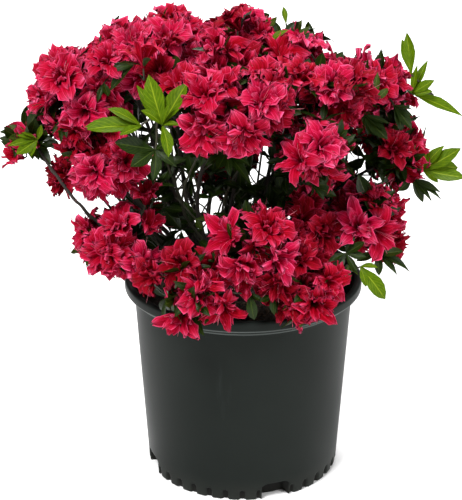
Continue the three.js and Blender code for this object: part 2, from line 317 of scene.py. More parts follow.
def tube_tree():
    """A round bar along each line of points, as thick as the points say, with a rough skin."""
    tree, given = node_tree(
        "Bark tubes", Finish=("Material", None), Sides=("Int", 8), Relief=("Float", 0.2),
        Grain=("Float", 260.0))
    girth = named(tree, "girth", "FLOAT")
    path = add_node(tree, "GeometryNodeMeshToCurve", {"Mesh": given["Geometry"]})
    thick = add_node(tree, "GeometryNodeSetCurveRadius", {"Curve": path.outputs[0], "Radius": girth})
    outline = add_node(tree, "GeometryNodeCurvePrimitiveCircle", {
        "Radius": 1.0, "Resolution": given["Sides"]})
    skin = add_node(tree, "GeometryNodeCurveToMesh", {
        "Curve": thick.outputs[0], "Profile Curve": outline.outputs[0], "Scale": girth, "Fill Caps": True})
    grain = flow(tree, "ShaderNodeTexNoise", {"Scale": given["Grain"], "Detail": 3.0})
    normal = add_node(tree, "GeometryNodeInputNormal")
    outward = add_node(tree, "ShaderNodeVectorMath", {
        0: normal.outputs[0], "Scale": (grain - 0.5) * (girth * given["Relief"])}, operation="SCALE")
    move = add_node(tree, "GeometryNodeSetPosition", {
        "Geometry": skin.outputs[0], "Offset": outward.outputs[0]})
    return end_tree(tree, move.outputs[0], given["Finish"])


def grow(name, source, tree, **inputs):
    """Runs the tree on the source object and keeps the result as a plain mesh."""
    modifier = source.modifiers.new("grow", "NODES")
    modifier.node_group = tree
    for item in tree.interface.items_tree:
        if item.item_type == "SOCKET" and item.in_out == "INPUT" and item.name in inputs:
            modifier[item.identifier] = inputs[item.name]
    bpy.context.view_layer.update()
    depsgraph = bpy.context.evaluated_depsgraph_get()
    mesh = bpy.data.meshes.new_from_object(
        source.evaluated_get(depsgraph), preserve_all_data_layers=True, depsgraph=depsgraph)
    source.modifiers.remove(modifier)
    bpy.data.objects.remove(source)
    mesh.name = name
    return add_object(name, mesh)


def mark(mesh, name, kind, values, number=np.float32):
    """Gives each point of the mesh its own value."""
    mesh.attributes.new(name, kind, "POINT").data.foreach_set("value", np.array(values, number).ravel())


def scatter(name, tree, shapes, spots, material):
    """A piece made of many shapes. Each spot is (place, turn, size, kind)."""
    places, turns, sizes, kinds = zip(*spots)
    mesh = bpy.data.meshes.new(name + "_points")
    mesh.from_pydata([tuple(place) for place in places], [], [])
    mark(mesh, "turn", "QUATERNION", [tuple(turn) for turn in turns])
    mark(mesh, "size", "FLOAT", sizes)
    mark(mesh, "kind", "INT", kinds, np.int32)
    return grow(name, add_object(name + "_points", mesh), tree, Shapes=shapes, Finish=material)


def tubes(name, tree, paths, material, sides, relief):
    """A piece made of round bars. Each path is a list of (point, radius)."""
    points, edges, girths = [], [], []
    for path in paths:
        first = len(points)
        points += [tuple(point) for point, _ in path]
        girths += [girth for _, girth in path]
        edges += [(first + i, first + i + 1) for i in range(len(path) - 1)]
    mesh = bpy.data.meshes.new(name + "_lines")
    mesh.from_pydata(points, edges, [])
    mark(mesh, "girth", "FLOAT", girths)
    source = add_object(name + "_lines", mesh)
    return grow(name, source, tree, Finish=material, Sides=sides, Relief=relief)


def shape_set(name, shapes):
    """A collection of shapes to pick from, out of the scene."""
    collection = bpy.data.collections.new(name)
    bpy.context.scene.collection.children.link(collection)
    for number, (points, faces, uvs) in enumerate(shapes):
        obj = mesh_object(f"{name}_{number:02d}", points, faces, uvs)
        bpy.context.scene.collection.objects.unlink(obj)
        collection.objects.link(obj)
    return collection


def drop_set(collection):
    for obj in list(collection.objects):
        bpy.data.objects.remove(obj)
    bpy.data.collections.remove(collection)


# ---- Finishes ---------------------------------------------------------------


def effect_group(name, inputs, outputs):
    """A shader node group with number inputs and outputs: the group, what comes in, and where to feed."""
    group = bpy.data.node_groups.new(name, "ShaderNodeTree")
    for label, value in inputs.items():
        socket = group.interface.new_socket(label, in_out="INPUT", socket_type="NodeSocketFloat")
        socket.default_value = value
    for label in outputs:
        group.interface.new_socket(label, in_out="OUTPUT", socket_type="NodeSocketFloat")
    return group, add_node(group, "NodeGroupInput").outputs, add_node(group, "NodeGroupOutput")


def blade_group():
    """Where a point lies on a petal or leaf: along it, off its midrib, and streaks that run along it."""
    group, given, result = effect_group(
        "Blade place", {"Streaks": 12.0, "Streak reach": 2.0}, ["Along", "Off midrib", "Streak"])
    along, across, _ = flow(group, "ShaderNodeUVMap", uv_map=UV_NAME).parts()
    place = flow(group, "ShaderNodeCombineXYZ", {0: along * given[1], 1: across * given[0]})
    for number, value in enumerate((along, abs(across - 0.5) * 2.0, place.noise(1.0, 4.0, 0.6))):
        feed(group, result.inputs[number], value)
    return group


def wear_group():
    """Uneven wear: broad patches and thin scratches, as masks and a height."""
    group, given, result = effect_group(
        "Wear", {"Patch scale": 12.0, "Scratch scale": 60.0}, ["Patches", "Scratches", "Height"])
    place = flow(group, "ShaderNodeTexCoord", output="Object")
    patches = place.noise(given[0], 5.0)
    lines = place.stretched(1.0, 1.0, 0.12).noise(given[1], 6.0, 0.7)
    for number, value in enumerate((patches, ((lines - 0.62) * 9.0).clamped(), lines * 0.4 + patches)):
        feed(group, result.inputs[number], value)
    return group


BLADE = blade_group()
WEAR = wear_group()


class Finish:
    """A material under way. Its effects come out as Flows, and set() feeds its shader."""

    def __init__(self, name, roughness):
        self.material = bpy.data.materials.new(name)
        self.material.use_nodes = True
        self.tree = self.material.node_tree
        self.shader = self.tree.nodes["Principled BSDF"]
        self.set("Roughness", roughness)

    @property
    def place(self):
        return flow(self.tree, "ShaderNodeTexCoord", output="Object")

    def set(self, label, value):
        feed(self.tree, self.shader.inputs[label], value)

    def effect(self, group, first, second):
        node = add_node(self.tree, "ShaderNodeGroup", node_tree=group)
        for socket, value in zip(node.inputs, (first, second)):
            socket.default_value = value
        return [Flow(self.tree, socket) for socket in node.outputs]

    def bump(self, height, strength, distance):
        self.set("Normal", flow(self.tree, "ShaderNodeBump", {
            "Strength": strength, "Distance": distance, "Height": height}))

    def let_light_through(self, colour, share):
        glow = flow(self.tree, "ShaderNodeBsdfTranslucent", {"Color": colour})
        mixed = flow(self.tree, "ShaderNodeMixShader", {0: share, 1: self.shader.outputs[0], 2: glow})
        feed(self.tree, self.tree.nodes["Material Output"].inputs["Surface"], mixed)


def petal_finish(name, throat, body, edge, rim):
    """Dark in the throat as painted shade, streaked along its length, and pale where the thin rim catches
    light, a painted highlight.
    """
    finish = Finish(name, 0.6)
    along, off, streak = finish.effect(BLADE, 16.0, 1.3)
    # painted shade: the dark throat colour fills the foot of each petal, deep in the bloom where shade falls
    inner = blend((along * 1.9).clamped(), throat, body)
    outward = (along * 0.75 + 0.1).clamped()
    veined = ((streak - 0.46) * 5.5).clamped()
    # painted highlight, partly real veining: the lit streaks and the sides take the lighter edge colour
    lit = (veined * outward + off ** 5.0 * 0.5).clamped()
    broken = ((streak - 0.36) * 3.6).clamped()
    # painted highlights: the margin and the brightest streaks (ribs) take the pale rim colour, as where
    # light catches them
    fringe_glint = (off ** 9.0).most(along ** 11.0) * broken * 0.52
    ribs = ((streak - 0.63) * 5.5).clamped()
    caught = (fringe_glint.most(ribs) * outward).clamped()
    finish.set("Base Color", blend(caught, blend(lit, inner, edge), rim))
    finish.set("Specular IOR Level", 0.03)
    finish.bump(streak, 0.8, 0.9 * MM)
    finish.let_light_through(body, 0.10)
    return finish.material


def leaf_finish(name, dark, body, rib, roughness, shine):
    finish = Finish(name, roughness)
    along, off, streak = finish.effect(BLADE, 5.0, 7.0)
    ribbed = (1.0 - off * 9.0).clamped()
    side_rib = (along * 52.0 + off * -16.0).sine()
    lined = ((side_rib - 0.7) * 0.8).clamped()
    mottled = ((streak - 0.25) * 1.7).clamped()
    veins = (ribbed * 0.75).most(lined).clamped()
    finish.set("Base Color", blend(veins, blend(mottled, dark, body), rib))
    finish.bump(streak - ribbed * 0.8, 0.6, 0.5 * MM)
    finish.set("Specular IOR Level", shine)
    finish.let_light_through(body, 0.10)
    return finish.material


def bark_finish():
    finish = Finish("thin_brown_bark", 0.85)
    patches, scratches, _ = finish.effect(WEAR, 45.0, 320.0)
    furrows = finish.place.stretched(1.0, 1.0, 0.2).noise(520.0, 5.0, 0.65)
    # the bark's own brown, darkened almost to black as painted shade for stems inside the crown
    brown = blend(patches, (0.005, 0.003, 0.002), (0.026, 0.016, 0.010))
    finish.set("Base Color", blend(scratches * 0.6, brown, (0.06, 0.045, 0.032)))
    finish.bump(furrows, 0.8, 0.5 * MM)
    return finish.material


def young_bark_finish():
    finish = Finish("young_twig_bark", 0.7)
    patches, _, height = finish.effect(WEAR, 60.0, 420.0)
    finish.set("Base Color", blend(patches, (0.012, 0.010, 0.006), (0.045, 0.042, 0.016)))
    finish.bump(height, 0.5, 0.3 * MM)
    return finish.material


def pot_finish():
    """Satin black-green, scuffed, with pale painted highlights along the lip and the band and dark painted
    shade in the foot's hollows.
    """
    finish = Finish("satin_black_green_plastic", 0.42)
    finish.set("Specular IOR Level", 0.055)
    patches, scratches, relief = finish.effect(WEAR, 9.0, 70.0)
    height = finish.place.parts()[2]
    colour = blend(patches, (0.0078, 0.0098, 0.0086), (0.0145, 0.0178, 0.0157))
    specks = ((finish.place.noise(900.0, 2.0) - 0.70) * 7.0).clamped()
    marks = (scratches * 0.10 + specks * 0.25).clamped()
    colour = blend(marks, colour, (0.05, 0.06, 0.058))
    # painted highlights: pale lines along the band's lower edge and the lip's lower edge, where light
    # catches the rounded edges, broken up by the patches
    for level, reach in ((BAND_BOTTOM + 1.0 * MM, 1.3 * MM), (LIP_BOTTOM + 1.6 * MM, 1.4 * MM)):
        line = (1.0 - abs(height - level) / reach).clamped()
        colour = blend(line * patches * 0.9, colour, (0.16, 0.18, 0.172))
    # painted shade: the scoops and drain notches of the foot are darkened almost to black, where shade falls
    # in them
    wall = height * ((BODY_TOP_RADIUS - FOOT_RADIUS) / BAND_BOTTOM) + (FOOT_RADIUS - 0.8 * MM)
    pressed = ((wall - finish.place.stretched(1.0, 1.0, 0.0).length()) / (2.2 * MM)).clamped()
    colour = blend(pressed * (height < 24 * MM), colour, (0.002, 0.0025, 0.0022))
    low = (1.0 - height / (28 * MM)).clamped()
    finish.set("Base Color", blend(low * patches * 0.35, colour, (0.06, 0.058, 0.05)))
    finish.set("Roughness", patches * 0.22 + 0.30)
    finish.bump(finish.place.noise(1500.0, 2.0) * 0.25 + relief, 0.18, 0.5 * MM)
    return finish.material


def mix_finish():
    finish = Finish("moist_potting_mix", 0.95)
    patches = finish.effect(WEAR, 30.0, 200.0)[0]
    crumbs = finish.place.noise(420.0, 6.0, 0.7)
    dark = blend(crumbs, (0.006, 0.004, 0.003), (0.05, 0.031, 0.020))
    finish.set("Base Color", blend(patches * 0.4, dark, (0.035, 0.022, 0.014)))
    finish.bump(crumbs, 1.0, 2.0 * MM)
    return finish.material


def chip_finish():
    finish = Finish("composted_bark_chips", 0.9)
    height = finish.effect(WEAR, 90.0, 500.0)[2]
    shade = finish.place.noise(110.0, 2.0)
    finish.set("Base Color", blend(shade, (0.016, 0.009, 0.006), (0.13, 0.075, 0.042)))
    finish.bump(height, 0.8, 0.6 * MM)
    return finish.material


def thread_finish():
    finish = Finish("stamen_threads", 0.5)
    along, _, streak = finish.effect(BLADE, 2.0, 3.0)
    pale = blend(streak, (0.62, 0.05, 0.12), (0.80, 0.24, 0.30))
    finish.set("Base Color", blend(along ** 14.0, pale, (0.16, 0.05, 0.045)))
    return finish.material


# The looks of the petals of each tint: the material's name, then the colours of the throat (painted shade),
# the body of the petal, the lit streaks and sides (painted highlight), and the thin rim (painted highlight).
# The tints are partly real variation from bloom to bloom and partly lit and shaded copies: deep is a darker
# copy painted for blooms in shade, rose and pink lighter copies for blooms lit from above.
TINTS = {
    "crimson": ("crimson_rose_petals", (0.05, 0.0, 0.0), (0.20, 0.0, 0.002), (0.62, 0.003, 0.046),
                (1.0, 0.20, 0.45)),
    "rose": ("rose_petals", (0.06, 0.0, 0.001), (0.25, 0.0, 0.006), (0.70, 0.008, 0.080),
             (1.0, 0.29, 0.58)),
    "deep": ("shaded_deep_crimson_petals", (0.03, 0.0, 0.0), (0.135, 0.0, 0.002), (0.42, 0.001, 0.020),
             (0.85, 0.10, 0.24)),
    "pink": ("pink_lit_petals", (0.08, 0.0, 0.003), (0.30, 0.0, 0.013), (0.80, 0.020, 0.135),
             (1.0, 0.40, 0.68)),
}
# The looks of each kind of leaf: the material's name, its dark parts, its body and its ribs, then
# its roughness and how much it shines.
LEAF_LOOKS = {
    "dark": ("dark_leaves", (0.003, 0.009, 0.0), (0.013, 0.029, 0.002), (0.055, 0.085, 0.010), 0.4, 0.16),
    "olive": ("olive_leaves", (0.014, 0.028, 0.002), (0.045, 0.072, 0.006), (0.12, 0.16, 0.025), 0.42, 0.12),
    "fresh": ("fresh_leaves", (0.034, 0.072, 0.0), (0.085, 0.150, 0.001), (0.25, 0.32, 0.014), 0.5, 0.07),
}


# ---- Petals, blooms, leaves -------------------------------------------------

PETAL_GRID = (8, 9)
PETAL_WIDEST = 0.64
THROAT = 1.5
LEAF_GRID = (7, 5)
LEAF_WIDEST = 0.55
THREAD_GRID = (7, 3)
THREAD_SEEDS = (21, 22, 23)
STAMENS_IN_BUNCH = 5


def bent_strip(theta, length):
    """How far out and how high each row of a strip lies that leans by theta, row by row."""
    step = length / (len(theta) - 1)
    middle = (theta[1:] + theta[:-1]) / 2
    return [np.concatenate([[0], np.cumsum(way(middle) * step)]) for way in (np.sin, np.cos)]


def sheet_points(x, y, z, u, v):
    points = np.stack([x, y, z], -1).reshape(-1, 3)
    return points, np.stack([u, (v + 1) / 2], -1).reshape(-1, 2)


def petal(length, width, lean, tip_power, ruffle, pleat, random, twist, curl):
    """One petal in millimetres, its foot on the bloom's axis and its length leaning from lean[0]
    to lean[1] degrees off that axis. tip_power makes the tip round or pointed, and curl bends it
    back by so many degrees more."""
    u = np.linspace(0, 1, PETAL_GRID[0])
    v = np.linspace(-1, 1, PETAL_GRID[1])
    theta = np.radians(lean[0] + (lean[1] - lean[0]) * u ** 1.25 + curl * smoothstep(0.55, 1.0, u))
    out, height = bent_strip(theta, length)
    radius = THROAT + out
    rise = 0.16 + 0.84 * smoothstep(0, PETAL_WIDEST, u)
    fall = (1 - np.clip((u - PETAL_WIDEST) / (1 - PETAL_WIDEST), 0, 1) ** tip_power) ** 0.8
    half = width / 2 * np.where(u < PETAL_WIDEST, rise, np.maximum(fall, 0.20))
    phase = random.uniform(0, 2 * math.pi, 8)
    u, v = np.meshgrid(u, v, indexing="ij")
    edge = np.abs(v) ** 2.5
    jag = 1 + 0.17 * edge * np.sin(19 * u + phase[0] + 2.1 * np.sign(v)) * smoothstep(0.25, 0.6, u)
    side = v * half[:, None] * jag
    cup = 0.22 * half[:, None] * v ** 2 * (1 - 0.9 * u)
    waves = np.sin(14.0 * u + phase[1] + np.sign(v) * phase[2]) + 0.5 * np.sin(25.0 * u + phase[6])
    frill = ruffle * u ** 1.2 * np.abs(v) ** 1.6 * waves
    pleats = pleat * (0.25 + 0.75 * u) * np.cos(math.pi * 1.25 * v + phase[3] * 0.25)
    crinkle = 0.7 * pleat * u * np.sin(7.5 * v + phase[4]) * np.sin(10 * u + phase[5])
    crinkle = crinkle + 0.55 * ruffle * u ** 5 * np.sin(8.5 * v + phase[6])
    lift = cup + frill + pleats + crinkle
    lobes = 0.05 * length * u ** 5 * np.cos(4.2 * v + phase[7])
    theta = theta[:, None] + 0 * v
    roll = twist * u
    x = radius[:, None] - lift * np.cos(theta) + lobes * np.sin(theta) - side * np.sin(roll) * np.cos(theta)
    z = height[:, None] + lift * np.sin(theta) + lobes * np.cos(theta) + side * np.sin(roll) * np.sin(theta)
    return sheet_points(x, side * np.cos(roll), z, u, v)


def spun(points, degrees):
    a = math.radians(degrees)
    turn = np.array([[math.cos(a), -math.sin(a), 0], [math.sin(a), math.cos(a), 0], [0, 0, 1]])
    return points @ turn.T


def joined(pieces, grid, closed=False):
    """One shape in metres from equal grids of points in millimetres, each with its UV pairs."""
    quads = np.array(grid_faces(*grid, closed))
    faces = [quads + number * grid[0] * grid[1] for number in range(len(pieces))]
    points, uvs = zip(*pieces)
    return np.concatenate(points) * MM, np.concatenate(faces), np.concatenate(uvs)


def bloom(whorls, seed):
    """A bloom from whorls of petals: each (count, first turn, petal sizes, scatter)."""
    random = np.random.default_rng(seed)
    petals = []
    for count, turn, (length, width, lean0, lean1, tip_power, ruffle, pleat), scatter_by in whorls:
        for i in range(count):
            stretch = 1 + random.uniform(-0.10, 0.12)
            lean = (lean0 + random.uniform(-4, 4), lean1 + random.uniform(-1, 1) * scatter_by)
            points, uvs = petal(
                length * stretch, width * (1 + random.uniform(-0.12, 0.12)), lean, tip_power,
                ruffle * random.uniform(0.7, 1.4), pleat, random,
                twist=random.uniform(-0.9, 0.9), curl=random.uniform(-15, 75))
            heading = turn + 360 * i / count + random.uniform(-16, 16)
            petals.append((spun(points, heading), uvs))
    return joined(petals, PETAL_GRID)


# length, width, lean at foot and tip, tip power, ruffle, pleat
BROAD = (35, 19.5, 14, 88, 3.4, 3.1, 1.9)
BROAD_INNER = (30, 15.5, 10, 56, 3.0, 3.2, 1.8)
NARROW = (37, 15, 12, 90, 2.3, 2.2, 1.6)
NARROW_INNER = (31, 13, 9, 54, 2.4, 2.6, 1.5)
PETALOID = (25, 10, 8, 34, 2.2, 2.6, 1.2)
CUPPED = (33, 19, 12, 62, 2.9, 2.6, 1.7)
TIGHT = (25, 12, 9, 14, 1.7, 0.8, 0.5)
DOUBLE_WHORLS = [(6, 0, BROAD, 18), (6, 30, BROAD_INNER, 24), (4, 10, PETALOID, 24)]
STARRY_WHORLS = [(5, 0, NARROW, 18), (4, 36, NARROW_INNER, 20), (3, 15, PETALOID, 22)]
FULL_WHORLS = [(5, 0, BROAD, 18), (7, 20, NARROW_INNER, 26), (4, 0, PETALOID, 24)]
CUPPED_WHORLS = [(5, 0, CUPPED, 18), (5, 36, NARROW_INNER, 16), (3, 0, PETALOID, 18)]
BUD_WHORLS = [(5, 0, TIGHT, 5), (3, 30, TIGHT, 4)]
BLOOM_KINDS = 3 * [DOUBLE_WHORLS] + 2 * [STARRY_WHORLS] + [FULL_WHORLS, CUPPED_WHORLS, BUD_WHORLS]
BUD = 7
OPEN_KINDS = 7
BLOOMS_PER_PIECE = 85


def threads_of(seed):
    """A bunch of stamens: thin bent threads out of the throat, each with a small dark tip."""
    random = np.random.default_rng(seed)
    rows, sides = THREAD_GRID
    u = np.linspace(0, 1, rows)
    angle = np.linspace(0, 2 * math.pi, sides, endpoint=False)
    around_thread = np.stack([np.cos(angle), np.sin(angle), 0 * angle], -1)
    girth = np.where(u > 0.94, 0.42, 0.20 - 0.06 * u)
    uvs = np.repeat(np.stack([u, 0 * u + 0.5], -1), sides, axis=0)
    threads = []
    for _ in range(STAMENS_IN_BUNCH):
        heading = random.uniform(0, 2 * math.pi)
        reach = random.uniform(24, 36)
        spread = random.uniform(0.15, 0.55)
        out = spread * u + random.uniform(0.2, 0.6) * u ** 2.4 * 0.6
        line = np.stack([reach * out, 0 * u, reach * u * (1 - 0.18 * u)], -1)
        tube = line[:, None, :] + girth[:, None, None] * around_thread[None]
        threads.append((spun(tube.reshape(-1, 3), math.degrees(heading)), uvs))
    return joined(threads, THREAD_GRID, closed=True)


def leaf(width, droop, fold, twist, tip_power, seed):
    """A leaf one unit long along +Z from its foot, upper side to +X."""
    random = np.random.default_rng(seed)
    u = np.linspace(0, 1, LEAF_GRID[0])
    v = np.linspace(-1, 1, LEAF_GRID[1])
    theta = droop * u ** 1.3
    back, height = bent_strip(theta, 1)
    rise = smoothstep(-0.12, LEAF_WIDEST, u)
    fall = 1 - np.clip((u - LEAF_WIDEST) / (1 - LEAF_WIDEST), 0, 1) ** tip_power
    half = width / 2 * np.where(u < LEAF_WIDEST, rise, np.maximum(fall, 0.03))
    u, v = np.meshgrid(u, v, indexing="ij")
    side = v * half[:, None]
    wave = 0.018 * np.sin(7 * u + random.uniform(0, 6) + 1.5 * np.sign(v)) * np.abs(v)
    lift = fold * np.abs(side) + wave
    theta = theta[:, None] + 0 * v
    roll = twist * u
    x = -back[:, None] + lift * np.cos(theta) + side * np.sin(roll)
    points, uvs = sheet_points(x, side * np.cos(roll), height[:, None] + lift * np.sin(theta), u, v)
    return points, grid_faces(*LEAF_GRID), uvs


# width, droop, fold, twist, tip power and seed of each kind of leaf
LEAF_KINDS = [
    (0.40, 0.25, 0.35, 0.1, 1.8, 31),
    (0.34, 0.7, 0.30, -0.3, 1.6, 32),
    (0.44, -0.2, 0.20, 0.3, 2.0, 33),
    (0.30, 0.45, 0.55, 0.5, 1.5, 34),
    (0.38, 1.0, 0.25, -0.1, 1.9, 35),
    (0.24, 0.35, 0.5, 0.2, 1.5, 36),
]
BROAD_LEAVES = 5
NARROW_LEAF = 5
LEAVES_PER_PIECE = 2400


# ---- Plant layout -----------------------------------------------------------


def nodes_in(*slots):
    return [row["node"] for row in frame["record"]["subparts"] if row["material_slot"] in slots]


class Mass:
    """The space that one CAD mass holds: its middle and half sizes, without its drawn-out tips."""

    def __init__(self, node):
        mesh = frame["nodes"][node].data
        points = np.empty(len(mesh.vertices) * 3)
        mesh.vertices.foreach_get("co", points)
        low, high = np.percentile(points.reshape(-1, 3), [4, 96], axis=0)
        self.middle = Vector((low + high) / 2)
        self.half = Vector((high - low) / 2)
        out = self.middle.copy()
        out.z = (out.z - MIX_TOP) * 0.6
        self.outward = out.normalized()

    def scaled(self, point, origin=(0, 0, 0)):
        """The point as seen from the origin, in half sizes of the mass."""
        return Vector([(point[i] - origin[i]) / self.half[i] for i in range(3)])

    def reach(self, direction):
        return 1 / self.scaled(direction).length

    def depth(self, point):
        """0 at the middle and 1 on the surface."""
        return self.scaled(point, self.middle).length


def sphere_directions(count, random):
    """Evenly spread directions, turned at random and shaken a little."""
    golden = math.pi * (3 - math.sqrt(5))
    start = random.uniform(0, 2 * math.pi)
    for i in range(count):
        z = 1 - 2 * (i + 0.5) / count
        level = math.sqrt(1 - z * z)
        angle = start + golden * i
        way = Vector((level * math.cos(angle), level * math.sin(angle), z))
        yield (way + shaken(random, 0.16)).normalized()


def curve_through(points, count):
    """A smooth line through the points, with count steps in each stretch."""
    ends = [points[0] * 2 - points[1], *points, points[-1] * 2 - points[-2]]
    line = []
    for a, b, c, d in zip(ends, ends[1:], ends[2:], ends[3:]):
        for i in range(count):
            t = i / count
            line.append(0.5 * ((2 * b) + (c - a) * t + (2 * a - 5 * b + 4 * c - d) * t ** 2
                               + (3 * b - a - 3 * c + d) * t ** 3))
    line.append(points[-1].copy())
    return line


def limb_lines(masses):
    """The middle line of each limb, from its foot to the middle of the mass it carries."""
    lines = {}
    for name, (into, through, foot, tip, *fork) in LIMBS.items():
        through = Vector(through) * MM
        if fork and fork[0] in lines:
            parent = lines[fork[0]]
            start = parent[int(fork[1] * (len(parent) - 1))][0]
        elif fork:
            start = masses[fork[0]].middle
        else:
            start = CROWN_MIDDLE + UP * (MIX_TOP + CROWN_HEIGHT - 12 * MM)
            lean = through - start
            lean.z = 0
            start = start + lean.normalized() * CROWN_TOP_RADIUS * 0.62
        line = curve_through([start, through, masses[into].middle], STEPS_IN_LIMB)
        girths = (tip + (foot - tip) * np.linspace(1, 0, len(line)) ** 1.6) * LIMB_SLIMMER * MM
        lines[name] = list(zip(line, girths))
    return lines


def wandering(line, random):
    """The same line with small knuckles, as where side shoots were lost."""
    walk = Vector((0, 0, 0))
    result = []
    for i, (point, girth) in enumerate(line):
        edge = min(i, len(line) - 1 - i) / 3
        walk = walk * 0.7 + shaken(random, LIMB_WANDER)
        knuckle = 1.0 + 0.10 * max(0.0, random.normal(0, 1))
        result.append((point + walk * min(1.0, edge), girth * knuckle))
    return result


def twig(kind, start, start_way, end, end_way, random):
    """A thin shoot that leaves one way and arrives another."""
    foot, tip, steps = TWIG_KINDS[kind]
    span = (end - start).length
    a = start + start_way * span * 0.35
    b = end - end_way * span * 0.35
    path = []
    for i in range(steps + 1):
        t = i / steps
        point = start * (1 - t) ** 3 + a * 3 * t * (1 - t) ** 2 + b * 3 * t * t * (1 - t) + end * t ** 3
        if 0 < i < steps:
            point = point + shaken(random, 0.5 * MM)
        path.append((point, foot + (tip - foot) * t))
    return path


STEPS_IN_LIMB = 14
LIMB_SLIMMER = 0.78
LIMB_WANDER = 0.5 * MM
# Each kind of twig: its radius at foot and tip, and its steps.
TWIG_KINDS = {
    "to_bloom": (1.3 * MM, 0.9 * MM, 5),
    "to_placed_bloom": (1.4 * MM, 0.9 * MM, 5),
    "to_rosette": (1.4 * MM, 0.9 * MM, 4),
    "to_inner_rosette": (1.4 * MM, 0.9 * MM, 3),
    "to_whorl": (1.6 * MM, 1.0 * MM, 5),
    "fork": (1.9 * MM, 1.5 * MM, 3),
    "spray": (1.5 * MM, 1.0 * MM, 5),
    "side_shoot": (1.2 * MM, 0.8 * MM, 4),
}


# How each mass is dressed: how many bloom places it has all round, its leaf rosettes, a number
# that the leaves at each bloom stay under, and the tint that most of its blooms have.
DRESS = {"blooms": 17, "rosettes": 3, "leaves": 3, "tint": None}
# The rose and pink tints on the upper masses are painted light from above; the deep tint on the low front
# right is painted shade.
DRESSES = {
    "left_tip": {"blooms": 6, "rosettes": 2},
    "left_shoulder": {"rosettes": 0, "leaves": 2, "tint": "rose"},
    "left_low": {"rosettes": 0, "leaves": 2},
    "upper_left": {"rosettes": 1, "leaves": 1, "tint": "rose"},
    "top_left": {"rosettes": 1, "leaves": 1, "tint": "pink"},
    "top_mid": {"blooms": 14, "rosettes": 0, "leaves": 1, "tint": "rose"},
    "centre_front": {"rosettes": 0, "leaves": 1, "tint": "rose"},
    "centre_right_front": {"rosettes": 1, "leaves": 2},
    "top_right": {"blooms": 11, "rosettes": 3},
    "right_mid": {"blooms": 13, "rosettes": 3},
    "low_front_left": {"blooms": 14, "rosettes": 2},
    "back_mid_low": {"blooms": 9, "rosettes": 4},
    "low_front_right": {"blooms": 14, "rosettes": 3, "tint": "deep"},
    "far_right_mid": {"blooms": 12, "rosettes": 5},
    "low_right": {"blooms": 15, "rosettes": 5},
    "low_right_back": {"blooms": 14, "rosettes": 4},
}
BLOOM_DEPTH = 22 * MM
BLOOM_SPREAD = 17 * MM
BLOOM_SIZES = (0.96, 1.2)
BLOOM_BACK = -0.55               # how far behind a mass blooms face, as a cosine
BUD_SHARE = 0.08
MAIN_TINT_SHARE = 0.7
THREAD_SHARE = 0.85
FACE_HEIGHT = 14 * MM
FEATURE_ROOM = 21 * MM
HEAD_INSET = 3 * MM
HEAD_SPREAD = (0.84, 1.05)
OUTLINE_SHARE = 0.92
OUTLINE_INSET = 0.12
TAKEN_DEPTH = 0.78
ABOVE_RIM = POT_HEIGHT + 14 * MM
BEYOND_RIM = RIM_RADIUS + 10 * MM
FORKS = 3
FORK_TILT = 0.8
FORK_REACH = 0.25
# How likely each tint is: for most blooms of a mass, for its other blooms, and on sprays.
MAIN_TINTS = (0.45, 0.25, 0.18, 0.12)
OTHER_TINTS = (0.4, 0.3, 0.15, 0.15)
SPRAY_TINTS = (0.4, 0.2, 0.3, 0.1)

ROSETTE_BACK = -0.3
ROSETTE_DEPTH = 16 * MM
ROSETTE_LEAVES = 7
MORE_AT_BACK = 4
BACK_FROM = 40 * MM
INNER_ROSETTES = 9
INNER_LEAVES = 4
OLIVE_SHARE = 0.4
LEAF_LONG = (26, 38)
SHORT_LEAF_LONG = (20, 31)
LEAF_TURN = 2.4                  # radians from one leaf of a rosette to the next
# How far leaves tilt off their twig, in radians: round a bloom, on a mass, and inside it.
BLOOM_TILT = (0.9, 1.4)
OUTER_TILT = (0.9, 1.35)
INNER_TILT = (0.4, 1.2)
LEAF_MASS_TILT = (0.5, 1.2)
LEAF_MASS_ROSETTES = 7
LEAF_MASS_LEAVES = 5
LEAF_MASS_REACH = 0.45

SPRAYS = 3
SPRAY_SHARE = 0.72
SPRAY_TOP = 160 * MM
SPRAY_BACK = 165 * MM
SPRAY_ROOM = 6 * MM
SPRAY_OLIVE_SHARE = 0.15
SHOWN_FROM = 15 * MM
SHOOT_SHARE = 0.6
SHOOT_SPAN = (0.34, 0.86)
VIEW_DIP = math.radians(22)
RIGHT = Vector((1, 0, 0))
UPRIGHT = Vector((0, math.sin(VIEW_DIP), math.cos(VIEW_DIP)))
FRONT = Vector((0, -math.cos(VIEW_DIP), math.sin(VIEW_DIP)))

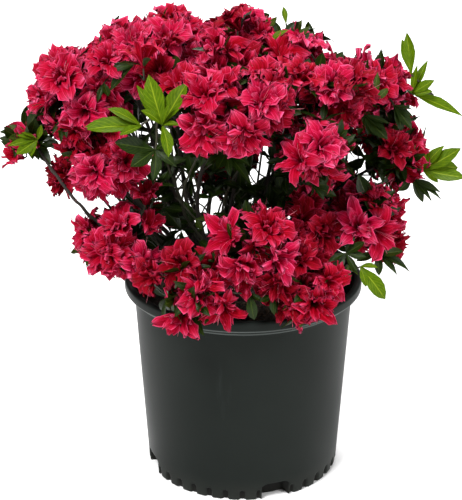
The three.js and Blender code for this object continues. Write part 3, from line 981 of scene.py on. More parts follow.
# Leaf whorls that stand out: the kind of leaf, the middle in millimetres, then each leaf as its
# bearing clockwise from upright seen from the front, its length, its lean towards the front, and
# 1 for a narrow leaf.
WHORLS = [
    ("fresh", (-84, -146, 468), [(-16, 54, 10), (29, 52, 12), (-32, 50, 5, 1), (-37, 30, 45), (158, 36, 35),
        (17, 30, 40, 1), (70, 20, 40)]),
    ("fresh", (-106, -142, 466), [(-90, 56, 8), (-54, 40, 15), (-112, 26, 30), (-84, 62, -6, 1)]),
    ("fresh", (190, 8, 458), [(23, 42, 8, 1), (111, 63, 8, 1), (90, 26, 30), (58, 30, 25), (-40, 24, 20, 1),
        (5, 34, 30, 1)]),
    ("fresh", (188, 6, 481), [(-7, 48, 8), (-13, 42, 12)]),
    ("fresh", (206, 4, 368), [(31, 38, 20), (62, 50, 10), (78, 49, 0), (103, 50, 12), (124, 24, 35),
        (10, 24, 30)]),
    ("fresh", (128, -116, 298), [(139, 48, 15), (75, 20, 35), (160, 24, 30)]),
    ("fresh", (-228, -46, 420), [(-100, 34, 15, 1), (-128, 30, 15), (-75, 24, 20, 1), (-150, 22, 25),
        (20, 18, 30), (-60, 20, 30, 1)]),
    ("olive", (26, -22, 539), [(39, 17, 15), (-8, 14, 10, 1)]),
    ("fresh", (28, -34, 528), [(47, 24, 20)]),
    ("dark", (40, -24, 529), [(47, 29, 10), (-20, 20, 20)]),
    ("fresh", (46, -18, 544), [(-8, 20, 10)]),
    ("olive", (57, -22, 529), [(10, 22, 10), (-30, 16, 25)]),
    ("olive", (65, -22, 532), [(30, 13, 15)]),
    ("dark", (62, -26, 530), [(63, 18, 5, 1), (86, 15, 20)]),
    ("dark", (32, -36, 525), [(86, 34, 10, 1)]),
    ("dark", (38, -40, 518), [(117, 27, 15)]),
    ("dark", (79, -62, 498), [(12, 27, 20)]),
    ("dark", (57, -84, 500), [(133, 23, 15)]),
    ("dark", (-92, -140, 440), [(-84, 44, 12), (-130, 36, 25), (172, 34, 30), (125, 30, 25), (60, 24, 40)]),
    ("dark", (-18, -112, 428), [(140, 46, 20, 1), (-120, 28, 30), (-155, 28, 35), (172, 28, 35),
        (112, 30, 25), (-90, 30, 20)]),
    ("dark", (-14, 10, 354), [(-60, 30, 20), (-110, 30, 20), (60, 30, 20), (110, 30, 20), (160, 30, 20),
        (20, 28, 20)]),
    ("dark", (-105, -20, 419), [(-60, 26, 20), (40, 28, 20), (120, 28, 20), (-150, 26, 25)]),
    ("dark", (-62, -20, 388), [(-90, 28, 20), (90, 28, 20), (170, 26, 25)]),
    ("dark", (-72, -14, 300), [(-110, 22, 20), (175, 18, 20), (-60, 26, 20), (30, 26, 20), (90, 26, 20, 1),
        (-20, 26, 20)]),
    ("dark", (142, 26, 376), [(-60, 28, 20), (20, 28, 20), (90, 28, 20), (160, 28, 20), (-130, 28, 20)]),
    ("dark", (14, 20, 330), [(-50, 28, 20), (30, 28, 20), (90, 28, 20), (-110, 26, 20)]),
    ("dark", (56, 6, 398), [(-70, 26, 20), (20, 26, 20), (170, 28, 20), (110, 26, 20)]),
    ("dark", (-80, 0, 378), [(-60, 30, 20), (-110, 30, 20), (60, 30, 20), (-160, 24, 20)]),
    ("dark", (-92, -20, 330), [(140, 34, 10), (100, 28, 20), (-160, 26, 20)]),
    ("olive", (-54, -40, 324), [(88, 24, 10), (150, 18, 30)]),
    ("dark", (-118, -74, 512), [(-132, 36, 8), (-95, 26, 25)]),
    ("dark", (-150, -72, 492), [(-160, 22, 20), (160, 20, 30)]),
    ("dark", (-200, -56, 446), [(178, 26, 15, 1), (160, 22, 20), (-150, 20, 25, 1)]),
    ("dark", (-206, -45, 455), [(-96, 30, 10, 1), (-86, 32, 5, 1), (-106, 26, 10, 1)]),
    ("dark", (132, -52, 451), [(139, 38, 10), (125, 34, 10), (165, 24, 20), (108, 30, 15, 1),
        (-160, 24, 30)]),
    ("dark", (168, -12, 450), [(127, 28, 5, 1), (118, 26, 5, 1), (142, 34, 10), (155, 32, 15),
        (100, 22, 15, 1)]),
    ("olive", (142, -48, 466), [(8, 32, 15, 1), (52, 22, 20)]),
    ("dark", (119, -46, 470), [(0, 24, 20)]),
    ("dark", (194, 4, 358), [(152, 32, 10), (113, 38, 5, 1), (121, 43, 5, 1), (136, 36, 10, 1),
        (-133, 26, 25)]),
    ("dark", (112, -112, 312), [(-150, 30, 20), (150, 26, 25), (100, 24, 25), (-110, 24, 30), (60, 26, 20),
        (20, 24, 20)]),
    ("olive", (114, -116, 300), [(184, 24, 12), (130, 18, 35)]),
    ("dark", (148, -96, 306), [(-108, 26, 20), (114, 44, 10), (134, 34, 15), (88, 30, 20), (175, 26, 25)]),
    ("dark", (7, -152, 282), [(172, 32, 12), (120, 20, 25)]),
    ("dark", (32, -152, 280), [(178, 22, 12), (-120, 18, 25)]),
    ("dark", (-44, -6, 309), [(84, 30, 10), (-70, 22, 20)]),
]
# Blooms that stand out: the middle of the open face in millimetres, the bearing and the amount
# that it turns away from facing the front, its size, which shape it has, and its tint.
# The deep tint is given to blooms that sit in shade, low down and inside or behind the crown: painted shade.
FEATURE_BLOOMS = [
    (-66, -158, 257, 200, 25, 1.1, 4, "rose"), (-23, -160, 267, 180, 28, 1.0, 3, "crimson"),
    (-66, -150, 314, -60, 30, 1.05, 0, "deep"), (-100, -140, 296, -100, 45, 0.95, 1, "deep"),
    (-16, -142, 345, -80, 42, 1.1, 3, "rose"), (27, -150, 355, 35, 38, 1.1, 0, "crimson"),
    (38, -162, 326, 110, 40, 1.05, 4, "pink"), (-2, -166, 318, 190, 45, 0.95, 1, "rose"),
    (76, -160, 272, 160, 22, 1.05, 4, "crimson"), (92, -146, 292, 100, 35, 1.0, 1, "crimson"),
    (60, -140, 318, 20, 30, 1.0, 2, "deep"), (78, -122, 304, 60, 40, 1.0, 5, "deep"),
    (69, -60, 332, 40, 40, 1.05, 1, "deep"), (88, -92, 330, 100, 40, 1.0, 0, "deep"),
    (50, -84, 316, -40, 40, 1.0, 2, "deep"), (-36, -126, 304, -30, 30, 1.0, 5, "deep"),
    (-1, -150, 300, 180, 35, 0.95, 5, "crimson"), (-46, -152, 288, 150, 30, 0.95, 1, "crimson"),
    (36, -154, 294, 200, 40, 1.0, 4, "deep"), (126, -98, 338, -25, 10, 1.15, 4, "pink"),
    (150, -90, 328, 120, 30, 1.1, 3, "rose"), (57, -148, 432, -60, 28, 1.0, 3, "rose"),
    (82, -140, 444, 55, 30, 1.1, 1, "pink"), (-108, -80, 368, 0, 62, 0.9, 6, "crimson"),
    (0, -156, 462, 165, 35, 1.2, 2, "rose"), (-40, -156, 466, 200, 32, 1.15, 1, "rose"),
    (19, -148, 495, 30, 22, 1.05, 5, "pink"), (-40, -150, 503, -30, 22, 1.1, 5, "rose"),
    (92, -94, 497, 10, 15, 1.05, 1, "pink"), (-162, -97, 400, -140, 30, 1.1, 1, "pink"),
    (-126, -90, 411, 60, 35, 1.1, 2, "rose"), (-203, -30, 374, -100, 40, 1.0, 5, "deep"),
    (-176, -80, 322, -90, 60, 0.9, 6, "rose"), (-137, -98, 340, -20, 40, 1.0, 1, "rose"),
    (-105, -74, 330, 40, 50, 0.85, 6, "crimson"), (-112, -108, 297, 90, 30, 1.0, 2, "pink"),
    (147, 30, 394, 0, 40, 0.95, 2, "deep"), (166, -44, 332, 80, 40, 1.0, 5, "crimson"),
    (168, -62, 303, 110, 45, 0.95, 2, "deep"), (-200, -24, 498, -20, 40, 1.05, 5, "rose"),
    (-214, -24, 490, -70, 50, 0.9, 6, "crimson"), (-256, -32, 397, -70, 55, 0.82, 6, "crimson"),
    (-243, -32, 411, -20, 45, 0.88, 5, "rose"), (50, 0, 418, 30, 40, 1.0, 5, "deep"),
    (44, 20, 396, 140, 40, 0.9, 2, "deep"), (60, -40, 440, 20, 40, 1.0, 1, "crimson"),
    (-40, 55, 338, 0, 60, 0.85, 6, "deep"), (10, 78, 357, -20, 60, 1.1, 7, "deep"),
    (-196, -66, 496, -30, 20, 1.1, 0, "rose"), (-84, -44, 534, 0, 30, 1.15, 0, "pink"),
    (145, -28, 478, 20, 25, 1.05, 2, "crimson"), (-155, -106, 308, -90, 25, 1.1, 1, "rose"),
    (-140, -108, 312, 60, 25, 1.05, 5, "crimson"), (168, -30, 406, 60, 30, 1.0, 2, "deep"),
    (-190, -48, 409, -60, 50, 0.85, 5, "deep"), (-176, -40, 424, -20, 40, 0.95, 2, "crimson"),
    (1, -14, 545, -10, 50, 0.9, 5, "pink"), (-21, -36, 510, -20, 22, 1.05, 0, "pink"),
    (16, -25, 523, 20, 22, 1.1, 1, "pink"), (-3, -62, 504, 170, 20, 1.0, 2, "rose"),
    (44, -52, 497, 60, 25, 1.05, 5, "pink"), (-62, -28, 537, 20, 30, 0.9, 5, "rose"),
    (-61, -44, 508, 150, 25, 1.05, 2, "pink"), (-145, -62, 515, -30, 25, 1.05, 2, "rose"),
    (-120, -54, 530, -5, 30, 1.0, 5, "pink"), (-108, -54, 495, 120, 25, 1.1, 1, "pink"),
    (-154, -56, 478, 160, 25, 1.0, 0, "rose"), (-173, -66, 458, 185, 25, 1.1, 1, "pink"),
    (-185, -60, 434, 200, 35, 0.95, 5, "crimson"), (-144, -50, 444, 120, 30, 0.95, 0, "crimson"),
    (-162, -76, 381, 190, 40, 0.95, 0, "rose"), (-134, -80, 385, 170, 40, 0.95, 1, "rose"),
    (116, -44, 487, 10, 30, 0.95, 0, "crimson"), (157, 0, 468, 40, 30, 0.82, 2, "crimson"),
    (74, -18, 514, 50, 35, 0.88, 5, "pink"), (-204, -38, 365, 205, 50, 0.75, 6, "deep"),
    (-38, -38, 518, -10, 25, 1.0, 2, "pink"), (-32, -70, 502, 200, 20, 1.0, 1, "rose"),
    (20, -66, 498, 160, 20, 1.0, 5, "rose"), (19, -24, 537, 35, 35, 0.85, 5, "rose"),
]
# Thin bare shoots, each through these points in millimetres.
BARE_SHOOTS = [
    [(-165, -60, 390), (-153, -42, 364), (-128, -40, 332), (-70, -20, 250)],
    [(-150, -60, 392), (-139, -36, 357), (-125, -35, 328), (-60, -15, 250)],
    [(-136, -60, 392), (-131, -30, 363), (-115, -30, 336), (-50, -10, 250)],
    [(-178, -60, 392), (-160, -44, 352), (-136, -44, 322), (-80, -24, 250)],
]
# Open places: a point in millimetres and how far round the line of sight through it nothing grows
# at random. Those in the crown show sky between the stems, those round it keep its outline.
GAPS = [
    (22, 0, 369, 12), (15, 0, 357, 8), (18, 0, 400, 5), (-36, 0, 325, 7), (-52, 0, 325, 8),
    (-22, 0, 322, 6), (-49, 0, 295, 10), (-96, 0, 297, 7), (-72, 0, 354, 8), (-71, 0, 337, 8),
    (-131, 0, 398, 6), (-109, 0, 411, 5), (-115, 0, 365, 6), (-163, -30, 346, 9), (-145, -30, 348, 9),
    (-174, -30, 347, 8), (-35, 20, 554, 17), (160, 0, 524, 9), (195, 0, 306, 14), (-237, -20, 375, 12),
    (-168, -60, 255, 16), (-262, -20, 459, 12), (-86, 0, 598, 16), (110, 0, 518, 8), (192, 20, 430, 8),
    (-3, -20, 572, 8), (157, 10, 519, 12), (167, 10, 505, 10), (-99, -20, 569, 13), (124, -10, 390, 7),
    (91, -20, 517, 7), (138, -30, 522, 8), (-256, -30, 449, 8), (-71, -10, 574, 15), (45, -20, 542, 13),
]


def bearing_way(degrees):
    """The way of a bearing on a dial that faces the front."""
    b = math.radians(degrees)
    return RIGHT * math.sin(b) + UPRIGHT * math.cos(b)


class Plant:
    """Where every bloom, stamen bunch, leaf and twig goes."""

    def __init__(self, masses, lines):
        self.masses = masses
        self.lines = lines
        self.blooms = {tint: [] for tint in TINTS}
        self.leaves = {"dark": [], "olive": [], "fresh": []}
        self.threads = []
        self.twigs = []
        self.sights = [((Vector(p) * MM - CAMERA_PLACE).normalized(), r * MM) for *p, r in GAPS]
        self.random = np.random.default_rng(SEED)
        self.faces = [self.place_bloom(*row) for row in FEATURE_BLOOMS]
        for number, name in enumerate(nodes_in("blossom")):
            self.random = np.random.default_rng([SEED, number])
            self.dress_mass(masses[name], DRESS | DRESSES.get(name, {}))
        self.random = np.random.default_rng(SEED + 5)
        self.add_sprays([masses[name] for name in nodes_in("blossom")])
        for name in nodes_in("leaves"):
            self.fill_leaf_mass(masses[name])
        self.random = np.random.default_rng(SEED + 6)
        for pile, place, leaves in WHORLS:
            self.place_whorl(pile, Vector(place) * MM, leaves)
        self.add_bare_shoots()
        self.add_side_shoots()

    def in_gap(self, place, room=0.0):
        from_eye = place - CAMERA_PLACE
        return any(from_eye.cross(sight).length < r + room for sight, r in self.sights)

    def seen_inside(self, place, limit):
        """Whether the line of sight through the place passes well inside some mass."""
        sight = place - CAMERA_PLACE
        return any(
            mass.scaled(CAMERA_PLACE, mass.middle).cross(mass.scaled(sight).normalized()).length < limit
            for mass in self.masses.values())

    def nearest(self, point):
        return min(self.masses.values(), key=lambda mass: (mass.middle - point).length)

    def tint(self, shares):
        return list(TINTS)[self.random.choice(len(TINTS), p=shares)]

    def add_twig(self, kind, *ends):
        self.twigs.append(twig(kind, *ends, self.random))

    def add_leaf(self, place, way, face, length, pile, narrow=False):
        kind = NARROW_LEAF if narrow else int(self.random.integers(BROAD_LEAVES))
        self.leaves[pile].append((place, aim(way, face), length * MM, kind))

    def add_rosette(self, place, way, count, pile="dark", tilt=INNER_TILT, long=LEAF_LONG):
        random = self.random
        first = random.uniform(0, 6.28)
        for i in range(count):
            out = around(way, random.uniform(*tilt), first + i * LEAF_TURN + random.uniform(-0.3, 0.3))
            low = place - way * random.uniform(0, 5) * MM
            length = random.uniform(*long)
            if not any(self.in_gap(low + out * length * share * MM) for share in (0.1, 0.5, 0.9)):
                self.add_leaf(low, out, way, length, pile)

    def place_bloom(self, x, y, z, bearing, turned, size, kind, tint):
        """A bloom with a place of its own. Gives back the middle of its face."""
        t = math.radians(turned)
        way = FRONT * math.cos(t) + bearing_way(bearing) * math.sin(t)
        place = Vector((x, y, z)) * MM
        foot = place - way * FACE_HEIGHT * size
        turn = aim(way, shaken(self.random, 1))
        self.blooms[tint].append((foot, turn, size, kind))
        self.threads.append((foot, turn, size, int(self.random.integers(len(THREAD_SEEDS)))))
        self.add_twig("to_placed_bloom", self.nearest(foot).middle, way, foot, way)
        return place

    def bloom_heads(self, mass, places):
        """Where blooms can face outwards round the mass, clear of other masses and of the pot."""
        for way in sphere_directions(places, self.random):
            if way.dot(mass.outward) < BLOOM_BACK:
                continue
            head = mass.middle + way * (mass.reach(way) * self.random.uniform(*HEAD_SPREAD) - HEAD_INSET)
            if not self.seen_inside(head, OUTLINE_SHARE):
                head = head.lerp(mass.middle, OUTLINE_INSET)
            others = (other for other in self.masses.values() if other is not mass)
            taken = any(other.depth(head) < TAKEN_DEPTH for other in others)
            taken = taken or any((head - face).length < FEATURE_ROOM for face in self.faces)
            over_rim = head.z < ABOVE_RIM and math.hypot(head.x, head.y) < BEYOND_RIM
            if not (taken or over_rim or self.in_gap(head, BLOOM_SPREAD)):
                yield way, head

    def dress_mass(self, mass, dress):
        random = self.random
        heads = list(self.bloom_heads(mass, dress["blooms"]))
        knots = [around(mass.outward, FORK_TILT, 2 * math.pi * i / FORKS + 0.4) for i in range(FORKS)]
        knots = [(way, mass.middle + way * mass.reach(way) * FORK_REACH) for way in knots]
        for way, knot in knots:
            self.add_twig("fork", mass.middle, way, knot, way)
        main = dress["tint"] or self.tint(MAIN_TINTS)
        for way, head in heads:
            facing = (way + UP * random.uniform(0, 0.3) + shaken(random, 0.14)).normalized()
            size = random.uniform(*BLOOM_SIZES)
            kind = int(random.integers(OPEN_KINDS)) if random.random() > BUD_SHARE else BUD
            foot = head - facing * BLOOM_DEPTH * size
            turn = aim(facing, shaken(random, 1))
            tint = main if random.random() < MAIN_TINT_SHARE else self.tint(OTHER_TINTS)
            self.blooms[tint].append((foot, turn, size, kind))
            if kind != BUD and random.random() < THREAD_SHARE:
                self.threads.append((foot, turn, size, int(random.integers(len(THREAD_SEEDS)))))
            knot_way, knot = min(knots, key=lambda each: (each[1] - foot).length)
            self.add_twig("to_bloom", knot, knot_way, foot, facing)
            self.add_rosette(foot, facing, int(random.integers(dress["leaves"])), tilt=BLOOM_TILT)
        more = MORE_AT_BACK if mass.middle.y > BACK_FROM else 0
        for way in sphere_directions(dress["rosettes"] + more, random):
            if way.dot(mass.outward) < ROSETTE_BACK:
                continue
            tip = mass.middle + way * (mass.reach(way) - ROSETTE_DEPTH)
            self.add_twig("to_rosette", mass.middle, way, tip, way)
            pile = "olive" if random.random() < OLIVE_SHARE else "dark"
            self.add_rosette(tip, way, ROSETTE_LEAVES, pile, OUTER_TILT)
        for way in sphere_directions(INNER_ROSETTES, random):
            inside = mass.middle + way * mass.reach(way) * random.uniform(0.3, 0.6)
            self.add_rosette(inside, way, INNER_LEAVES)

    def add_sprays(self, crown):
        """Sprays between neighbouring masses at the back and on top, so that the crown closes."""
        random = self.random
        for a, b in itertools.combinations(crown, 2):
            middle = (a.middle + b.middle) / 2
            behind = min(a.middle.y, b.middle.y) > -20 * MM and middle.y > 30 * MM
            above = min(a.middle.z, b.middle.z) > 425 * MM
            apart = (a.middle - b.middle).length
            if apart > (SPRAY_TOP if above else SPRAY_BACK) or not (behind or above):
                continue
            out = (a.outward + b.outward).normalized()
            for _ in range(SPRAYS):
                tip = middle + shaken(random, 15 * MM) + out * random.uniform(4, 20) * MM
                if self.in_gap(tip, SPRAY_ROOM) or not self.seen_inside(tip, SPRAY_SHARE):
                    continue
                facing = (out + shaken(random, 0.3)).normalized()
                self.add_twig("spray", a.middle, (middle - a.middle).normalized(), tip, facing)
                leaves, bloom_share = (2, 0.9) if tip.y < SHOWN_FROM else (ROSETTE_LEAVES, 0.6)
                pile = "olive" if random.random() < SPRAY_OLIVE_SHARE else "dark"
                self.add_rosette(tip, facing, leaves, pile, OUTER_TILT)
                if random.random() < bloom_share and not self.in_gap(tip, BLOOM_SPREAD):
                    foot = tip - facing * 4 * MM
                    turn = aim(facing, shaken(random, 1))
                    kind = int(random.integers(OPEN_KINDS))
                    self.blooms[self.tint(SPRAY_TINTS)].append((foot, turn, 1.0, kind))

    def fill_leaf_mass(self, mass):
        for way in sphere_directions(LEAF_MASS_ROSETTES, self.random):
            tip = mass.middle + way * mass.reach(way) * LEAF_MASS_REACH
            self.add_twig("to_inner_rosette", mass.middle, way, tip, way)
            self.add_rosette(tip, way, LEAF_MASS_LEAVES, tilt=LEAF_MASS_TILT)

    def place_whorl(self, pile, place, leaves):
        for bearing, length, lean, *narrow in leaves:
            t = math.radians(lean)
            way = bearing_way(bearing) * math.cos(t) + FRONT * math.sin(t)
            self.add_leaf(place, way, FRONT + UP * 0.6 + shaken(self.random, 0.25), length, pile, narrow)
        middle = self.nearest(place).middle
        way = (place - middle).normalized()
        self.add_twig("to_whorl", middle, way, place, way)

    def add_bare_shoots(self):
        """The bare shoots, and a thinner one beside each stem, into the same mass."""
        for points in BARE_SHOOTS:
            path = curve_through([Vector(point) * MM for point in points], 6)
            self.twigs.append(list(zip(path, np.linspace(1.3, 2.0, len(path)) * MM)))
        for name, line in self.lines.items():
            if len(LIMBS[name]) > 4:
                continue
            last = len(line) - 1
            foot = line[int(self.random.uniform(0.08, 0.3) * last)][0]
            bend = line[int(0.6 * last)][0] + shaken(self.random, 9 * MM)
            tip = self.masses[LIMBS[name][0]].middle + shaken(self.random, 14 * MM)
            path = curve_through([foot, bend, tip], 8)
            self.twigs.append(list(zip(path, np.linspace(1.7, 1.1, len(path)) * MM)))

    def add_side_shoots(self):
        """Side shoots with a few leaves each along the upper part of the stems."""
        random = self.random
        for name, line in self.lines.items():
            if name == "arching_branch":
                continue
            last = len(line) - 1
            for i in range(*(int(share * last) for share in SHOOT_SPAN)):
                if random.random() > SHOOT_SHARE:
                    continue
                point = line[i][0]
                along = (line[i + 1][0] - point).normalized()
                way = around(along, random.uniform(0.5, 1.0), random.uniform(0, 6.28))
                way = (way + UP * 0.25).normalized()
                tip = point + way * random.uniform(18, 62 if "back" in name else 46) * MM
                if not self.in_gap(tip):
                    self.add_twig("side_shoot", point, along, tip, way)
                    self.add_rosette(tip, way, int(random.integers(4, 7)), long=SHORT_LEAF_LONG)


# ---- Pot --------------------------------------------------------------------

POT_ANGLES = 540
NOTCH_ANGLES = (-70, 20, 110, 200)
NOTCH_HALF = 17.5 * MM
NOTCH_DEPTH = 13 * MM
NOTCH_HEIGHT = 21 * MM
DIMPLES = 36
DIMPLE_HALF = 4.6 * MM
DIMPLE_DEPTH = 3.0 * MM
DIMPLE_HEIGHT = 14 * MM
PRESSED_HEIGHT = 23 * MM
LIP_ROUND = 3.2 * MM


def wall_radius(z):
    return FOOT_RADIUS + (BODY_TOP_RADIUS - FOOT_RADIUS) * z / BAND_BOTTOM


def foot_inset(angle, z):
    """How far the foot is pressed in: scoops all round and four deep drain notches."""
    pitch = 2 * math.pi / DIMPLES
    off = np.abs((angle + pitch / 2) % pitch - pitch / 2) * FOOT_RADIUS
    top = DIMPLE_HEIGHT - (off / DIMPLE_HALF) ** 2 * DIMPLE_HALF
    scoop = DIMPLE_DEPTH * (1 - smoothstep(0.55, 1.0, off / DIMPLE_HALF))
    scoop = scoop * (1 - smoothstep(-2 * MM, 0, z - top))
    notch = np.zeros_like(scoop)
    clear = np.ones_like(scoop)
    for middle in NOTCH_ANGLES:
        away = (angle - math.radians(middle) + math.pi) % (2 * math.pi) - math.pi
        away = np.abs(away) * FOOT_RADIUS
        inside = 1 - smoothstep(NOTCH_HALF - 1.5 * MM, NOTCH_HALF, away)
        arch = NOTCH_HEIGHT - 5 * MM * (away / NOTCH_HALF) ** 4
        notch = np.maximum(notch, inside * (1 - smoothstep(arch - 1.5 * MM, arch, z)))
        clear = clear * smoothstep(NOTCH_HALF, NOTCH_HALF + 3 * MM, away)
    return scoop * clear + NOTCH_DEPTH * notch


def pot_profile():
    """The wall's outline from the middle of the underside, up the outside and down the inside, and
    how many of its points lie outside."""
    heights = [2, 4, 6, 8, 9.5, 11, 12.5, *range(14, 22), 23, *range(34, 219, 14)]
    top = wall_radius(BAND_BOTTOM)
    outside = [
        *((share * FOOT_RADIUS, 0.0) for share in (0.0, 0.55, 0.84, 0.87)),
        (FOOT_RADIUS - 1.6 * MM, 0.0),
        (FOOT_RADIUS - 0.4 * MM, 0.6 * MM),
        *((wall_radius(z * MM), z * MM) for z in heights),
        (top, BAND_BOTTOM - 1.2 * MM),
        (top + 0.5 * MM, BAND_BOTTOM - 0.3 * MM),
        (BAND_RADIUS - 0.6 * MM, BAND_BOTTOM),
        (BAND_RADIUS, BAND_BOTTOM + 0.7 * MM),
        (BAND_RADIUS + 0.3 * MM, LIP_BOTTOM - 1.2 * MM),
        (BAND_RADIUS + 1.2 * MM, LIP_BOTTOM),
    ]
    for start, level in ((-90, LIP_BOTTOM + LIP_ROUND), (0, POT_HEIGHT - LIP_ROUND)):
        for step in range(5):
            a = math.radians(start + 22.5 * step)
            across = RIM_RADIUS - LIP_ROUND + LIP_ROUND * math.cos(a)
            outside.append((across, level + LIP_ROUND * math.sin(a)))
    inner = RIM_RADIUS - 9 * MM
    inside = [
        (inner + 2.4 * MM, POT_HEIGHT - 0.2 * MM),
        (inner + 0.8 * MM, POT_HEIGHT - 1.4 * MM),
        (inner, POT_HEIGHT - 3.5 * MM),
        (BAND_RADIUS - WALL, LIP_BOTTOM),
        (BODY_TOP_RADIUS - WALL, BAND_BOTTOM - 2 * MM),
        *((wall_radius(z * MM) - WALL, z * MM) for z in (200, 150, 100, 50, 26)),
        (FOOT_RADIUS - 16 * MM, 25 * MM),
        (FOOT_RADIUS - 16 * MM, FLOOR),
        (0.4 * FOOT_RADIUS, FLOOR),
        (0.0, FLOOR),
    ]
    return outside + inside, len(outside)


def make_pot(material):
    profile, outside = pot_profile()
    angle = np.linspace(0, 2 * math.pi, POT_ANGLES, endpoint=False)
    rings = []
    for i, (radius, z) in enumerate(profile[1:-1], start=1):
        pressed = i < outside and radius > 0.86 * FOOT_RADIUS and z < PRESSED_HEIGHT
        inset = foot_inset(angle, z) if pressed else 0
        # a moulded pot is never perfectly round
        oval = 1 + 0.0016 * np.sin(2 * angle + 0.6) * (z / POT_HEIGHT)
        rings.append(ring(angle, (radius - inset) * oval, z))
    return ringed_solid("nursery_pot", rings, (0, 0, 0), (0, 0, FLOOR), material)


# ---- Potting mix ------------------------------------------------------------

MIX_RINGS = 46
MIX_SPOKES = 150
CHIPS = 1000
CHIP_CORNERS = 7
CHIP_SEEDS = range(51, 56)


def make_mix(material):
    """The mix fills the pot up to its top, a little mounded and crumbly."""
    random = np.random.default_rng(SEED + 1)
    top = wall_radius(MIX_TOP) - WALL - 0.4 * MM
    angle = np.linspace(0, 2 * math.pi, MIX_SPOKES, endpoint=False)
    phases = random.uniform(0, 6.28, (7, 2))
    rings = []
    for number in range(1, MIX_RINGS + 1):
        share = number / MIX_RINGS
        x, y, z = ring(angle, top * share, MIX_TOP - 1.5 * MM).T
        for i, (a, b) in enumerate(phases):
            wave = 40 * 1.7 ** i
            z = z + 1.6 * MM / 1.35 ** i * np.sin(wave * x + a) * np.sin(wave * y + b)
        z = z + random.normal(0, 0.5 * MM, MIX_SPOKES)
        z = z - 3 * MM * smoothstep(0.85, 1.0, share)
        rings.append(ring(angle, top * share, z))
    low = FOOT_RADIUS - 20 * MM
    middle_height = 120 * MM
    rings.append(ring(angle, wall_radius(middle_height) - WALL - 1 * MM, middle_height))
    rings += [ring(angle, low, z) for z in (27 * MM, 5 * MM)]
    return ringed_solid("potting_mix", rings, (0, 0, MIX_TOP), (0, 0, 5 * MM), material, downward=True)


def chip(seed):
    """A flat splinter of bark with broken corners, one unit long."""
    random = np.random.default_rng(seed)
    n = CHIP_CORNERS
    angle = np.sort(random.uniform(0, 2 * math.pi, n))
    rim = np.stack([0.5 * np.cos(angle), 0.28 * np.sin(angle)], -1) * random.uniform(0.8, 1.1, (n, 1))
    top = np.concatenate([rim, random.uniform(0.07, 0.13, (n, 1))], 1)
    base = np.concatenate([rim * 0.9, random.uniform(-0.1, -0.05, (n, 1))], 1)
    points = np.concatenate([base, top])
    faces = [tuple(range(n))[::-1], tuple(range(n, 2 * n))]
    faces += [(i, (i + 1) % n, n + (i + 1) % n, n + i) for i in range(n)]
    return points, faces, points[:, :2] + 0.5


def make_chips(tree, material):
    random = np.random.default_rng(SEED + 2)
    spots = []
    top = wall_radius(MIX_TOP) - WALL - 5 * MM
    for _ in range(CHIPS):
        radius = top * math.sqrt(random.random())
        angle = random.uniform(0, 2 * math.pi)
        height = MIX_TOP + random.uniform(-2, 1) * MM
        tilt = (UP + shaken(random, 0.35)).normalized()
        turn = aim(tilt, shaken(random, 1))
        place = Vector((radius * math.cos(angle), radius * math.sin(angle), height))
        spots.append((place, turn, random.uniform(3.5, 11) * MM, int(random.integers(len(CHIP_SEEDS)))))
    shapes = shape_set("chip", [chip(seed) for seed in CHIP_SEEDS])
    piece = scatter("bark_chips", tree, shapes, spots, material)
    drop_set(shapes)
    return piece


# ---- Stem base --------------------------------------------------------------

BASE_ROWS = 18
BASE_SIDES = 40


def make_stem_base(material):
    """The flared foot that the stems rise from, lobed where roots go down."""
    random = np.random.default_rng(SEED + 3)
    x, y, _ = CROWN_MIDDLE
    floor = MIX_TOP + 0.3 * MM
    angle = np.linspace(0, 2 * math.pi, BASE_SIDES, endpoint=False)
    rings = []
    for row in range(BASE_ROWS):
        up = row / (BASE_ROWS - 1)
        flare = (1 - up) ** 2
        radius = CROWN_TOP_RADIUS + (CROWN_FOOT_RADIUS - CROWN_TOP_RADIUS) * flare
        ridge = 1 + 0.16 * flare * np.cos(5 * angle) + 0.06 * np.sin(9 * angle + 4 * up)
        rough = 1 + random.normal(0, 0.015, BASE_SIDES)
        rounded = 1 - 0.35 * smoothstep(0.8, 1.0, up)
        rings.append(ring(angle, radius * ridge * rough * rounded, floor + CROWN_HEIGHT * up, (x, y)))
    top = (x, y, MIX_TOP + CROWN_HEIGHT + 1 * MM)
    return ringed_solid("stem_base_bark", rings, (x, y, floor), top, material)


# ---- Camera, light and floor ------------------------------------------------

CAMERA_DIP = math.radians(22.5)
FRAME_SIZE = (462, 500)
FOCAL_PIXELS = 1485.0
LEVEL_PIXEL = (243.2, 256.9)     # where the plain dip would point
SENSOR = 36.0
AMBIENT = 0.3
LIT_PLACE = Vector((0, 0, 0.32))
FLOOR_SIZE = 14.0


def make_camera():
    camera = bpy.data.cameras.new("camera")
    camera.sensor_width = SENSOR
    camera.lens = SENSOR * FOCAL_PIXELS / FRAME_SIZE[1]
    camera.clip_end = 50
    x = (FRAME_SIZE[0] / 2 - LEVEL_PIXEL[0]) / FOCAL_PIXELS
    y = -(FRAME_SIZE[1] / 2 - LEVEL_PIXEL[1]) / FOCAL_PIXELS
    c, s = math.cos(CAMERA_DIP), math.sin(CAMERA_DIP)
    obj = add_object("camera", camera)
    look(obj, CAMERA_PLACE, Vector((x, c + y * s, -s + y * c)))
    bpy.context.scene.camera = obj


def look(obj, place, way):
    obj.location = place
    obj.rotation_euler = way.to_track_quat("-Z", "Y").to_euler()


def soft_box(name, place, size, power):
    light = bpy.data.lights.new(name, "AREA")
    light.shape = "RECTANGLE"
    light.size, light.size_y = size
    light.energy = power
    look(add_object(name, light), place, LIT_PLACE - Vector(place))


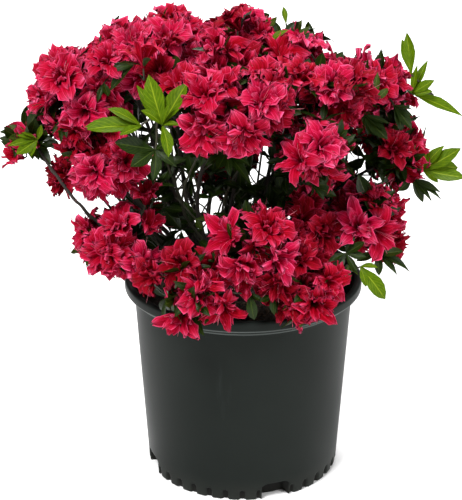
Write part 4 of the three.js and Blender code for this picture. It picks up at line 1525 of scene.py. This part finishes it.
def make_studio():
    scene = bpy.context.scene
    scene.view_settings.view_transform = "Standard"
    world = bpy.data.worlds.new("studio")
    scene.world = world
    world.use_nodes = True
    tree = world.node_tree
    backdrop = tree.nodes["Background"]
    seen = flow(tree, "ShaderNodeLightPath", output="Is Camera Ray")
    feed(tree, backdrop.inputs["Strength"], seen * (1.5 - AMBIENT) + AMBIENT)
    feed(tree, backdrop.inputs["Color"], (1, 1, 1))
    soft_box("key_left", (-0.9, -1.4, 2.4), (0.8, 0.8), 97)
    soft_box("fill_right", (1.6, -1.3, 1.3), (0.7, 1.0), 27)
    soft_box("back_top", (0.2, 1.5, 2.0), (1.4, 1.0), 60)
    finish = Finish("pale_floor", 0.9)
    finish.set("Base Color", (0.93, 0.93, 0.93))
    finish.set("Specular IOR Level", 0.1)
    far = ((finish.place.length() - 0.6) / 2.0).clamped()
    finish.set("Emission Color", blend(far, (0, 0, 0), (0.9, 0.9, 0.9)))
    finish.set("Emission Strength", 1.0)
    s = FLOOR_SIZE
    corners = [(-s, -s, 0), (s, -s, 0), (s, s, 0), (-s, s, 0)]
    floor = mesh_object("floor", corners, [(0, 1, 2, 3)], material=finish.material)


# ---- Building ---------------------------------------------------------------


def add_piece(piece, slot, *nodes):
    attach(piece, BODY)
    if nodes:
        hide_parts(*nodes)


def add_pieces(name, tree, shapes, spots, room, material, slot, nodes):
    """Pieces with room for so many shapes each. The first one replaces the nodes, and what comes
    back is what is left for a later piece to replace."""
    for first in range(0, len(spots), room):
        part = spots[first:first + room]
        add_piece(scatter(f"{name}_{1 + first // room}", tree, shapes, part, material), slot, *nodes)
        nodes = ()
    return nodes


def build():
    make_camera()
    scatter_nodes = scatter_tree()
    tube_nodes = tube_tree()

    add_piece(make_pot(pot_finish()), "pot_plastic", "pot")
    add_piece(make_mix(mix_finish()), "potting_mix", "root_ball")
    add_piece(make_chips(scatter_nodes, chip_finish()), "potting_mix")

    masses = {name: Mass(name) for name in nodes_in("blossom", "leaves", "fresh_leaves")}
    lines = limb_lines(masses)
    bark = bark_finish()
    random = np.random.default_rng(SEED + 4)
    add_piece(make_stem_base(bark), "bark", "stem_base")
    paths = [wandering(line, random) for line in lines.values()]
    stems = tubes("stems_and_boughs", tube_nodes, paths, bark, 12, 0.35)
    add_piece(stems, "bark", *lines)

    plant = Plant(masses, lines)
    add_piece(tubes("twigs", tube_nodes, plant.twigs, young_bark_finish(), 5, 0.25), "bark")

    petals = {tint: petal_finish(*looks) for tint, looks in TINTS.items()}
    shapes = shape_set("bloom", [bloom(whorls, seed) for seed, whorls in enumerate(BLOOM_KINDS, start=1)])
    left = nodes_in("blossom")
    for tint, spots in plant.blooms.items():
        left = add_pieces(
            "blooms_" + tint, scatter_nodes, shapes, spots, BLOOMS_PER_PIECE, petals[tint], "blossom", left)
    drop_set(shapes)
    shapes = shape_set("stamens", [threads_of(seed) for seed in THREAD_SEEDS])
    add_piece(scatter("stamens", scatter_nodes, shapes, plant.threads, thread_finish()), "blossom")
    drop_set(shapes)

    shapes = shape_set("leaf", [leaf(*kind) for kind in LEAF_KINDS])
    greens = {pile: leaf_finish(*looks) for pile, looks in LEAF_LOOKS.items()}
    leaves = plant.leaves
    add_pieces("leaves_dark", scatter_nodes, shapes, leaves["dark"], LEAVES_PER_PIECE, greens["dark"],
               "leaves", nodes_in("leaves"))
    add_piece(scatter("leaves_olive", scatter_nodes, shapes, leaves["olive"], greens["olive"]), "leaves")
    fresh = scatter("leaves_fresh", scatter_nodes, shapes, leaves["fresh"], greens["fresh"])
    add_piece(fresh, "fresh_leaves", *nodes_in("fresh_leaves"))
    drop_set(shapes)
    make_studio()


build()
